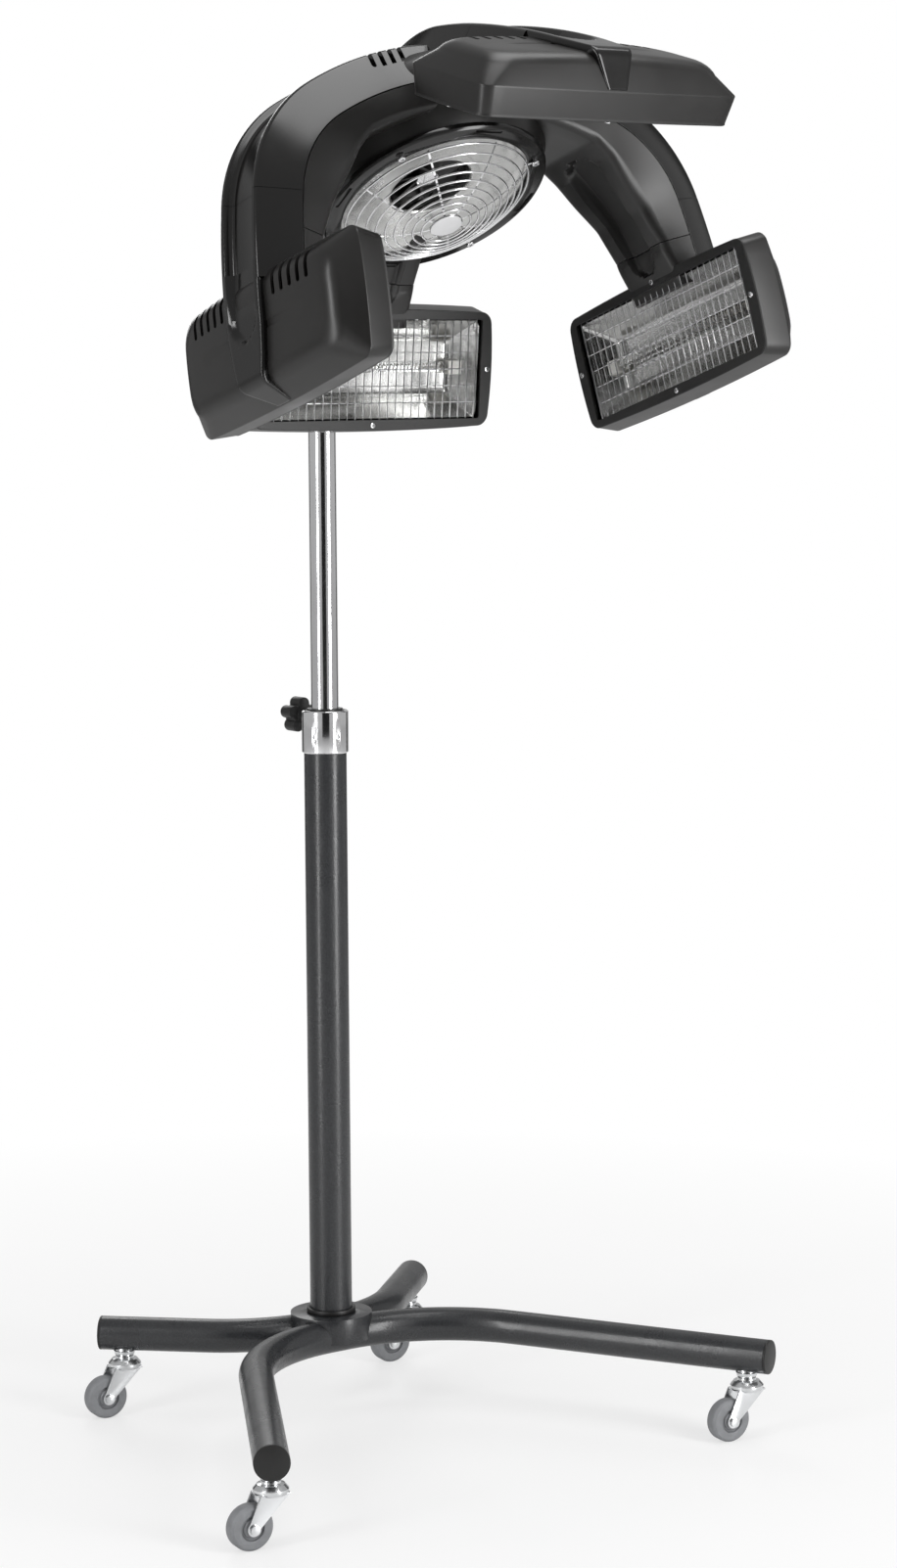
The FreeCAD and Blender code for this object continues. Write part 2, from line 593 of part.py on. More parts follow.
# ------------------------------------------------------------------- column
def make_column():
    column = tube(COLUMN_DIA, COLUMN_DIA - 2 * COLUMN_WALL, V(0, 0, COLUMN_FOOT_Z), V(0, 0, COLUMN_TOP_Z))
    nodes["lower_column"] = [column]

    knob_z = COLLAR_TOP_Z - KNOB_BELOW_TOP
    outside = rod(COLLAR_DIA, V(0, 0, COLLAR_FOOT_Z), V(0, 0, COLLAR_TOP_Z))
    outside = outside.makeChamfer(COLLAR_CHAMFER, [e for e in outside.Edges if len(e.Vertexes) == 1])
    boss = rod(COLLAR_BOSS_DIA, V(0, 0, knob_z), V(0, COLLAR_BOSS_REACH, knob_z))
    collar = outside.fuse(boss).removeSplitter()
    collar = collar.cut(rod(COLUMN_DIA, V(0, 0, COLLAR_FOOT_Z - LAP), V(0, 0, COLUMN_TOP_Z)))
    collar = collar.cut(rod(BUSH_DIA, V(0, 0, COLUMN_TOP_Z - LAP), V(0, 0, COLLAR_TOP_Z + LAP)))
    stud_bore = rod(STUD_DIA + 2 * RUNNING, V(0, 0, knob_z), V(0, COLLAR_BOSS_REACH + LAP, knob_z))
    collar = collar.cut(stud_bore)
    screws = []
    for angle in GRUB_ANGLES:
        out = V(math.cos(math.radians(angle)), math.sin(math.radians(angle)), 0)
        level = V(0, 0, COLLAR_TOP_Z - GRUB_BELOW_TOP)
        tip = level.add(out * (COLUMN_DIA / 2))
        head = level.add(out * (COLLAR_DIA / 2 - GRUB_SINK))
        screws.append(rod(GRUB_DIA, tip, head))
        collar = collar.cut(rod(GRUB_DIA, tip, head.add(out * LAP)))
    nodes["height_collar"] = [solid_of(collar)]
    nodes["collar_screws"] = screws

    bore = CHROME_DIA / 2 + SLIDING
    bush = revolved([
        (bore, COLUMN_TOP_Z), (BUSH_DIA / 2, COLUMN_TOP_Z), (BUSH_DIA / 2, COLLAR_TOP_Z),
        (BUSH_LIP_DIA / 2, COLLAR_TOP_Z), (BUSH_LIP_DIA / 2, COLLAR_TOP_Z + BUSH_LIP),
        (bore, COLLAR_TOP_Z + BUSH_LIP)])
    nodes["collar_bush"] = [solid_of(bush.cut(stud_bore))]

    face = COLLAR_BOSS_REACH + SEAT
    neck = rod(KNOB_NECK_DIA, V(0, face, knob_z), V(0, face + KNOB_NECK, knob_z))
    start = V(0, face + KNOB_NECK, knob_z)
    end = start.add(Y_AXIS * KNOB_THICKNESS)
    lobe_r = (KNOB_DIA - KNOB_LOBE_DIA) / 2
    lobes = [rod(2 * lobe_r, start, end)]
    for index in range(KNOB_LOBES):
        turn = 2 * math.pi * index / KNOB_LOBES + math.pi / 2
        offset = V(lobe_r * math.cos(turn), 0, lobe_r * math.sin(turn))
        lobes.append(rod(KNOB_LOBE_DIA, start.add(offset), end.add(offset)))
    stud = rod(STUD_DIA, V(0, CHROME_DIA / 2 + SEAT, knob_z), V(0, face + KNOB_NECK, knob_z))
    nodes["height_knob"] = [solid_of(fuse([neck, stud] + lobes))]

    chrome = tube(CHROME_DIA, CHROME_DIA - 2 * CHROME_WALL, V(0, 0, CHROME_FOOT_Z), V(0, 0, CHROME_TOP_Z))
    nodes["upper_column"] = [chrome]
    guide_dia = COLUMN_DIA - 2 * COLUMN_WALL - 2 * SLIDING
    nodes["tube_guide"] = [
        tube(guide_dia, CHROME_DIA, V(0, 0, CHROME_FOOT_Z), V(0, 0, CHROME_FOOT_Z + GUIDE_HEIGHT))]


# --------------------------------------------------------------------- neck
NECK_FOOT_Z = CHROME_TOP_Z - NECK_LENGTH
NECK_TOP_Z = CHROME_TOP_Z + RUNNING + NECK_ROOF
PIVOT = V(0, 0, CHROME_TOP_Z + PIVOT_RISE)


def make_neck():
    body = rod(NECK_DIA, V(0, 0, NECK_FOOT_Z), V(0, 0, NECK_TOP_Z))
    body = body.cut(rod(CHROME_DIA + 2 * RUNNING, V(0, 0, NECK_FOOT_Z - LAP), V(0, 0, CHROME_TOP_Z + RUNNING)))
    parts = [body]
    for side in (-1, 1):
        middle = side * (FORK_GAP + FORK_CHEEK) / 2
        cheek = block((FORK_CHEEK, 2 * FORK_ROUND, PIVOT.z - CHROME_TOP_Z + NECK_ROOF),
                      V(middle, 0, (PIVOT.z + CHROME_TOP_Z - NECK_ROOF) / 2 + NECK_ROOF))
        crest = rod(2 * FORK_ROUND, PIVOT.add(X_AXIS * (middle - FORK_CHEEK / 2)),
                    PIVOT.add(X_AXIS * (middle + FORK_CHEEK / 2)))
        parts += [cheek, crest]
    neck = fuse(parts)
    reach = FORK_GAP / 2 + FORK_CHEEK
    past = X_AXIS * (reach + LAP)
    neck = neck.cut(rod(TILT_PIN_DIA + 2 * RUNNING, PIVOT.sub(past), PIVOT.add(past)))
    nodes["swivel_neck"] = [solid_of(neck)]
    end = reach + SEAT
    nodes["tilt_pin"] = [fuse([
        rod(TILT_PIN_DIA, PIVOT.sub(X_AXIS * end), PIVOT.add(X_AXIS * end)),
        rod(TILT_HEAD_DIA, PIVOT.add(X_AXIS * end), PIVOT.add(X_AXIS * (end + TILT_HEAD_LENGTH))),
        rod(TILT_HEAD_DIA, PIVOT.sub(X_AXIS * (end + TILT_HEAD_LENGTH)), PIVOT.sub(X_AXIS * end))])]


# --------------------------------------------------------------- fan module
# Local frame of the fan: origin at the bezel's face, +Z up into the head.
FAN_UP = V(0, math.sin(math.radians(FAN_TILT)), math.cos(math.radians(FAN_TILT)))
FAN = placement(V(0, FAN_Y, FAN_Z), X_AXIS, FAN_UP.cross(X_AXIS))


def at_angle(radius, degrees, level):
    turn = math.radians(degrees)
    return V(radius * math.cos(turn), radius * math.sin(turn), level)


def make_fan():
    bezel = revolved([
        (BEZEL_HOLE_R, -BEZEL_THICK), (BEZEL_R - BEZEL_ROUND, -BEZEL_THICK),
        (BEZEL_R, -BEZEL_THICK + BEZEL_ROUND), (BEZEL_R, 0), (BEZEL_HOLE_R, 0)])
    for index in range(BEZEL_SLOTS):
        slot = block(BEZEL_SLOT, V(0, BEZEL_SLOT_R, -BEZEL_THICK))
        slot.rotate(V(0, 0, 0), Z_AXIS, 360.0 * index / BEZEL_SLOTS)
        bezel = bezel.cut(slot)
    screws = []
    for angle in GUARD_SCREW_ANGLES:
        foot = at_angle(GUARD_SCREW_R, angle, -BEZEL_THICK)
        shank = rod(GUARD_SCREW_DIA / 2, foot, foot.add(Z_AXIS * BEZEL_THICK))
        under = foot.sub(Z_AXIS * GUARD_WIRE)
        head = rod(GUARD_SCREW_DIA, under.sub(Z_AXIS * GUARD_SCREW_HEAD), under)
        neck = rod(GUARD_SCREW_DIA / 2, under, foot)
        screws.append(put(fuse([shank, neck, head]), FAN))
        bezel = bezel.cut(shank)
    nodes["fan_bezel"] = [put(solid_of(bezel), FAN)]
    nodes["guard_screws"] = screws

    outer, floor = DISH_R, DISH_OUTLET_R
    rim = BEZEL_HOLE_R
    sheet = DISH_SHEET
    throat_top = DISH_DEPTH + THROAT_HEIGHT
    knee = outer - DISH_KNEE
    dish = revolved([
        (rim, 0), (rim, -sheet), (outer - DISH_LIP, sheet), (knee, DISH_KNEE_DEPTH),
        (floor, DISH_DEPTH), (floor, throat_top), (floor + sheet, throat_top),
        (floor + sheet, DISH_DEPTH + sheet), (knee + sheet / 2, DISH_KNEE_DEPTH + sheet),
        (outer - DISH_LIP + 2 * sheet, sheet)])
    nodes["reflector_dish"] = [put(dish, FAN)]

    cap_r = (GUARD_R ** 2 + GUARD_DOME ** 2) / (2 * GUARD_DOME)

    def dome_level(radius):
        rise = math.sqrt(cap_r ** 2 - radius ** 2) - cap_r + GUARD_DOME
        return -BEZEL_THICK - GUARD_WIRE / 2 - rise

    crown = V(0, 0, dome_level(0) - GUARD_BOSS_THICK / 2)
    cage = [Part.makeCylinder(GUARD_BOSS_R, GUARD_BOSS_THICK, crown)]
    for index in range(GUARD_SPOKES):
        turn = 360.0 * index / GUARD_SPOKES + SPOKE_START
        radii = (GUARD_R, (GUARD_R + GUARD_BOSS_R) / 2, GUARD_BOSS_R - GUARD_WIRE)
        points = [at_angle(radius, turn, dome_level(radius)) for radius in radii]
        cage.append(wire_bar(points, GUARD_WIRE))
    wires = [solid_of(fuse(cage))]
    pitch = (GUARD_R - GUARD_BOSS_R) / GUARD_RINGS
    for index in range(1, GUARD_RINGS + 1):
        radius = GUARD_BOSS_R + pitch * index
        wires.append(wire_ring(radius, GUARD_WIRE, dome_level(radius) - GUARD_WIRE))
    for angle in GUARD_SCREW_ANGLES:
        rim = dome_level(GUARD_R)
        hook = rod(GUARD_WIRE, at_angle(GUARD_R - GUARD_WIRE, angle, rim),
                   at_angle(GUARD_SCREW_R - GUARD_SCREW_DIA / 4, angle, rim))
        wires.append(hook)
    nodes["wire_guard"] = [put(solid, FAN) for solid in wires]

    level = DISH_DEPTH + THROAT_HEIGHT
    around = 2 * (IMPELLER_R + IMPELLER_ROOM)
    spider = [tube(2 * SPIDER_HUB_R, around, V(0, 0, level), V(0, 0, level + SPIDER_PLATE))]
    motor_foot = level + IMPELLER_DEPTH + MOTOR_ROOM
    plate_r = MOTOR_POST_R + MOTOR_POST_DIA / 2 + IMPELLER_SHEET
    reach = DOME[1][1] - SHELL_WALL - SEAT
    for index in range(SPIDER_ARMS):
        turn = 360.0 * (index + 0.5) / SPIDER_ARMS
        arm = block((reach - SPIDER_HUB_R + 2 * LAP, SPIDER_ARM, SPIDER_PLATE),
                    V((reach + SPIDER_HUB_R - 2 * LAP) / 2, 0, level + SPIDER_PLATE / 2))
        arm = arm.common(Part.makeCylinder(reach, SPIDER_PLATE, V(0, 0, level)))
        arm.rotate(V(0, 0, 0), Z_AXIS, turn)
        post_foot = at_angle(MOTOR_POST_R, turn, level)
        spider += [arm, rod(MOTOR_POST_DIA, post_foot, at_angle(MOTOR_POST_R, turn, motor_foot))]
    spider.append(Part.makeCylinder(plate_r, SPIDER_PLATE, V(0, 0, motor_foot)))
    spider.append(Part.makeCylinder(MOTOR_DIA / 2, MOTOR_LENGTH, V(0, 0, motor_foot)))
    bore = Part.makeCylinder(SHAFT_DIA / 2 + RUNNING, MOTOR_LENGTH - SPIDER_PLATE, V(0, 0, motor_foot - LAP))
    motor = fuse(spider).cut(bore)
    nodes["fan_motor"] = [put(solid_of(motor), FAN)]

    foot = level - IMPELLER_SINK
    hub = Part.makeCylinder(IMPELLER_HUB_R, IMPELLER_DEPTH, V(0, 0, foot))
    shaft = Part.makeCylinder(SHAFT_DIA / 2, motor_foot + MOTOR_LENGTH - MOTOR_ROOM - foot, V(0, 0, foot))
    blades = []
    for index in range(IMPELLER_BLADES):
        blade = block((IMPELLER_R - IMPELLER_HUB_R + 2 * IMPELLER_SHEET, IMPELLER_SHEET, 2 * IMPELLER_DEPTH),
                      V((IMPELLER_R + IMPELLER_HUB_R) / 2 - IMPELLER_SHEET, 0, 0))
        blade.rotate(V(0, 0, 0), X_AXIS, BLADE_PITCH)
        blade.translate(V(0, 0, foot + IMPELLER_DEPTH / 2))
        blade.rotate(V(0, 0, 0), Z_AXIS, 360.0 * index / IMPELLER_BLADES)
        blades.append(blade)
    envelope = Part.makeCylinder(IMPELLER_R, IMPELLER_DEPTH, V(0, 0, foot))
    impeller = fuse([hub, shaft] + [blade.common(envelope) for blade in blades])
    nodes["fan_impeller"] = [put(solid_of(impeller), FAN)]


# ---------------------------------------------------------- planes and paths
# Each arm lies in a plane with local X outwards and local Y up.
SIDE_UP = V(0, math.sin(math.radians(SIDE_LEAN)), math.cos(math.radians(SIDE_LEAN)))
SIDE_PLANE = placement(V(0, SIDE_LAMP[1], SIDE_LAMP[2]), X_AXIS, SIDE_UP)
FRONT_PLANE = placement(V(0, 0, 0), V(0, -1, 0), Z_AXIS)
REAR_PLANE = placement(V(0, 0, 0), V(0, 1, 0), Z_AXIS)


def polar(length, degrees):
    return (length * math.cos(math.radians(degrees)), length * math.sin(math.radians(degrees)))


END_ARC_R = SEAM_RISE / math.sin(math.radians(END_SWEEP))
SEAM_OUT = RIDGE_OVER_LAMP - END_ARC_R * (1 - math.cos(math.radians(END_SWEEP)))


def seam_point(lamp, back):
    """Outer ridge at the seam, and the heading down towards the lamp."""
    up = polar(SEAM_RISE, back + 90)
    out = polar(SEAM_OUT, back)
    return (lamp[0] + up[0] + out[0], lamp[1] + up[1] + out[1]), back - 90 + END_SWEEP


def arm_run(start, crown_turn, lamp, back):
    """Arcs of the main arm from its crown to the seam."""
    end, end_heading = seam_point(lamp, back)
    first, second = solve_arcs(start, 0, -crown_turn, end, end_heading)
    return [(first, -crown_turn), (second, crown_turn + end_heading)]


SIDE_SPOT = (SIDE_LAMP[0], 0.0)
FRONT_SPOT = (-FRONT_LAMP[0], FRONT_LAMP[1])
REAR_SPOT = (REAR_LAMP[0], REAR_LAMP[1])
SIDE_RUN = arm_run((0, HOOP_TOP), HOOP_CROWN_TURN, SIDE_SPOT, SIDE_BACK)
FRONT_RUN = arm_run((-CROWN_Y, CROWN_Z), FRONT_CROWN_TURN, FRONT_SPOT, FRONT_BACK)
REAR_RUN = arm_run((CROWN_Y, CROWN_Z), REAR_CROWN_TURN, REAR_SPOT, REAR_BACK)
END_TURN = math.degrees(SEAM_STEP / END_ARC_R)
COVER_TAIL = [(END_ARC_R, -END_TURN)]

FLARE_RATE = (ARM_FLARE - ARM_HALF) / ARM_PART
CHANNEL_HALF = ARM_HALF - ARM_RIDGE
CHANNEL_FLOOR = CHANNEL_HALF - CHANNEL_DRAFT
OUTER_PROFILE = [
    (0, -ARM_HALF), (0, -CHANNEL_HALF), (CHANNEL_DEPTH, -CHANNEL_FLOOR), (CHANNEL_DEPTH, CHANNEL_FLOOR),
    (0, CHANNEL_HALF), (0, ARM_HALF), (ARM_PART, ARM_FLARE), (ARM_PART, -ARM_FLARE)]
COVER_PROFILE = [(ARM_PART, -ARM_FLARE), (ARM_PART, ARM_FLARE), (ARM_DEPTH, ARM_SOLE), (ARM_DEPTH, -ARM_SOLE)]
CAVITY_TOP = CHANNEL_DEPTH + SHELL_WALL
CAVITY_HALF = ARM_HALF + FLARE_RATE * CAVITY_TOP - SHELL_WALL
CAVITY_PROFILE = [
    (CAVITY_TOP, -CAVITY_HALF), (CAVITY_TOP, CAVITY_HALF), (ARM_PART, ARM_FLARE - SHELL_WALL),
    (ARM_DEPTH - SHELL_WALL, ARM_SOLE - SHELL_WALL), (ARM_DEPTH - SHELL_WALL, -ARM_SOLE + SHELL_WALL),
    (ARM_PART, -ARM_FLARE + SHELL_WALL)]


def hoop(profile, tail):
    """Sweep over both side arms, from seam to seam, in the side plane."""
    placed = put(swept((0, HOOP_TOP), 0, SIDE_RUN + tail, profile), SIDE_PLANE)
    return placed.fuse(mirrored(placed)).removeSplitter()


def spine_arms(profile, tail):
    """Sweeps of the front and the rear arm, in their planes."""
    front = put(swept((-CROWN_Y, CROWN_Z), 0, FRONT_RUN + tail, profile), FRONT_PLANE)
    rear = put(swept((CROWN_Y, CROWN_Z), 0, REAR_RUN + tail, profile), REAR_PLANE)
    return [front, rear]


def four_arms(profile, tail, middle):
    """The hoop, the front and rear arms and the dome between them, in one solid."""
    return fuse([hoop(profile, tail)] + spine_arms(profile, tail) + [middle])


def dome(offset, low, high):
    """Solid of the fan's dome between two levels, drawn in by offset."""
    points = [(max(radius - offset, 0), level) for level, radius in DOME]
    points[-1] = (points[-1][0], points[-1][1] - offset)
    outline = [(0, points[0][1])] + points + [(0, points[-1][1])]
    whole = revolved(outline)
    band = Part.makeCylinder(2 * BEZEL_R, high - low, V(0, 0, low))
    return put(whole.common(band), FAN)


def hinge_frame():
    """Pin centre of an arm end with its headings, in the lamp's plane."""
    heading = math.radians(-90 + END_SWEEP)
    ahead = V(math.cos(heading), math.sin(heading), 0)
    inward = V(math.sin(heading), -math.cos(heading), 0)
    centre = V(SEAM_OUT, SEAM_RISE, 0).sub(ahead * HINGE_RISE).add(inward * HINGE_DEPTH)
    return centre, ahead, inward


def lamp_plane(lamp, back, plane):
    """Placement with local X out of the lamp's back and local Y up to the arm."""
    out, up = polar(1, back), polar(1, back + 90)
    local = placement(V(lamp[0], lamp[1], 0), V(out[0], out[1], 0), V(up[0], up[1], 0))
    return plane.multiply(local)


LAMPS = {
    "right": lamp_plane(SIDE_SPOT, SIDE_BACK, SIDE_PLANE),
    "front": lamp_plane(FRONT_SPOT, FRONT_BACK, FRONT_PLANE),
    "rear": lamp_plane(REAR_SPOT, REAR_BACK, REAR_PLANE),
}


def knuckle_tool(grow, width):
    """Room for the round end of an arm end, in the lamp's plane."""
    centre, ahead, inward = hinge_frame()
    radius = HINGE_DEPTH + grow
    barrel = Part.makeCylinder(radius, 2 * width, centre.sub(Z_AXIS * width), Z_AXIS)
    down = HINGE_RISE + LAP
    inner, outer = centre.add(inward * radius), centre.sub(inward * (HINGE_DEPTH + LAP))
    corners = [inner, outer, outer.add(ahead * down), inner.add(ahead * down)]
    slab = prism(corners, width)
    return barrel.fuse(slab).removeSplitter()


def hinge_bosses():
    """Two cheeks inside the arm that carry the pin, in the lamp's plane."""
    centre = hinge_frame()[0]
    inner = ARM_HALF + SEAM_GAP
    outer = ARM_HALF + FLARE_RATE * (HINGE_DEPTH - HINGE_BOSS_DIA / 2) - SHELL_WALL / 2
    return [rod(HINGE_BOSS_DIA, centre.add(Z_AXIS * side * inner), centre.add(Z_AXIS * side * outer))
            for side in (-1, 1)]


def for_each_arm(shape):
    """Copies of a lamp-plane shape at all four arms."""
    right = put(shape, LAMPS["right"])
    return [right, mirrored(right), put(shape, LAMPS["front"]), put(shape, LAMPS["rear"])]


# --------------------------------------------------- control panel placement
def rear_channel_frame(turn_back):
    """Frame on the rear arm's channel floor: X lateral, Y up along the arm, Z out."""
    first, second = REAR_RUN
    start = V(CROWN_Y, CROWN_Z, 0)
    joint_heading = math.radians(-REAR_CROWN_TURN)
    centre1 = start.sub(V(0, first[0], 0))
    joint = centre1.add(V(first[0] * math.sin(-joint_heading), first[0] * math.cos(joint_heading), 0))
    centre2 = joint.sub(V(math.sin(-joint_heading), math.cos(joint_heading), 0) * second[0])
    angle = math.radians(REAR_CROWN_TURN + turn_back)
    radius = second[0] - CHANNEL_DEPTH
    spot = centre2.add(V(radius * math.sin(angle), radius * math.cos(angle), 0))
    up_along = V(0, -math.cos(angle), math.sin(angle))
    return placement(V(0, spot.x, spot.y), V(-1, 0, 0), up_along)


PANEL = rear_channel_frame(PANEL_TURN)
GLAND = rear_channel_frame(GLAND_TURN)


def make_head():
    dome_top = DOME[-1][0]
    outer = four_arms(OUTER_PROFILE, [], dome(0, DOME_PART, dome_top))
    cover = four_arms(COVER_PROFILE, COVER_TAIL, dome(0, 0, DOME_PART))
    cavity = four_arms(CAVITY_PROFILE, COVER_TAIL, dome(SHELL_WALL, -LAP, dome_top))
    below_bezel = put(Part.makeCylinder(BEZEL_R + LAP, 2 * BEZEL_R, V(0, 0, -2 * BEZEL_R)), FAN)

    shell = outer.cut(cavity).cut(below_bezel)
    shell = shell.fuse(for_each_arm(fuse(hinge_bosses()))).removeSplitter()
    centre = hinge_frame()[0]
    pin_bore = rod(HINGE_PIN_DIA + 2 * RUNNING, centre.sub(Z_AXIS * ARM_FLARE), centre.add(Z_AXIS * ARM_FLARE))
    shell = shell.cut(for_each_arm(knuckle_tool(SEAM_GAP, ARM_HALF + SEAM_GAP).fuse(pin_bore)))

    knuckle_room = knuckle_tool(SEAM_GAP, ARM_HALF + SEAM_GAP)
    half = FORK_GAP / 2 - SEAT
    reach = block((2 * half, LUG_REACH, 2 * LUG_ROUND), PIVOT.sub(Y_AXIS * (LUG_REACH / 2)))
    lug = reach.fuse(rod(2 * LUG_ROUND, PIVOT.sub(X_AXIS * half), PIVOT.add(X_AXIS * half)))
    lug = lug.cut(cavity).cut(rod(TILT_PIN_DIA, PIVOT.sub(X_AXIS * FORK_GAP), PIVOT.add(X_AXIS * FORK_GAP)))
    lug = lug.cut(put(knuckle_room, LAMPS["rear"]))
    shell = shell.fuse(solid_of(lug)).removeSplitter()

    window_size = (PANEL_SIZE[0] - 2 * PANEL_LIP, PANEL_SIZE[1] - 2 * PANEL_LIP, 4 * CHANNEL_DEPTH)
    shell = shell.cut(put(block(window_size, V(0, 0, 0)), PANEL))
    gland_hole = Part.makeCylinder(GLAND_NECK_DIA / 2, 4 * GLAND_THREAD, V(0, 0, -2 * GLAND_THREAD))
    shell = shell.cut(put(gland_hole, GLAND))
    for side in (-1, 1):
        for index in range(VENT_COUNT):
            x = side * (VENT_FIRST + VENT_PITCH * index)
            spot = V(x, HOOP_TOP - VENT_REACH, ARM_HALF + SHELL_WALL)
            vent = block((VENT_WIDTH, 4 * VENT_REACH, VENT_REACH), spot)
            shell = shell.cut(put(vent, SIDE_PLANE))
    nodes["head_outer_shell"] = [solid_of(shell)]

    inner = cover.cut(outer).cut(cavity).cut(below_bezel)
    throat = put(Part.makeCylinder(BEZEL_HOLE_R + BEZEL_THROAT, DOME_PART, V(0, 0, -LAP)), FAN)
    inner = inner.cut(throat)
    nodes["head_inner_shell"] = [solid_of(inner)]


# -------------------------------------------------------------------- lamps
def lamp_form(inset):
    """Back of a lamp in the lamp's plane, drawn in by inset: skirt, hipped sides, bowed crown."""
    half, tall = LAMP_HALF - inset, LAMP_TALL - inset
    mouth = LAMP_BEZEL - (LAP if inset > 0 else 0)
    over = CROWN_DEPTH + CROWN_EDGE_R
    share = (over - SKIRT_DEPTH) / (HIP_DEPTH - SKIRT_DEPTH)
    over_half = half + LAMP_FLARE - share * (LAMP_HALF + LAMP_FLARE - HIP_HALF)
    over_tall = tall + LAMP_FLARE - share * (LAMP_TALL + LAMP_FLARE - HIP_TALL)
    form = Part.makeLoft([
        bowed(half, tall, LAMP_BOW, mouth),
        bowed(half + LAMP_FLARE, tall + LAMP_FLARE, LAMP_BOW, SKIRT_DEPTH),
        bowed(over_half, over_tall, LAMP_BOW, over)], True, True)
    corners = [edge for edge in form.Edges if is_corner(edge)]
    form = form.makeFillet(LAMP_CORNER_R - inset, corners)
    radius = CROWN_BOW_R - inset
    drum = Part.makeCylinder(radius, 2 * LAMP_HALF, V(CROWN_DEPTH - CROWN_BOW_R, -LAMP_HALF, 0), Y_AXIS)
    form = solid_of(form.common(drum))
    crown = max(form.Faces, key=lambda face: face.CenterOfMass.x)
    return solid_of(form.makeFillet(CROWN_EDGE_R - inset, crown.Edges))


def is_corner(edge):
    """True for the edges that join the mouth to the crown."""
    ends = [vertex.Point for vertex in edge.Vertexes]
    return len(ends) == 2 and abs(ends[0].x - ends[1].x) > SKIRT_DEPTH / 2


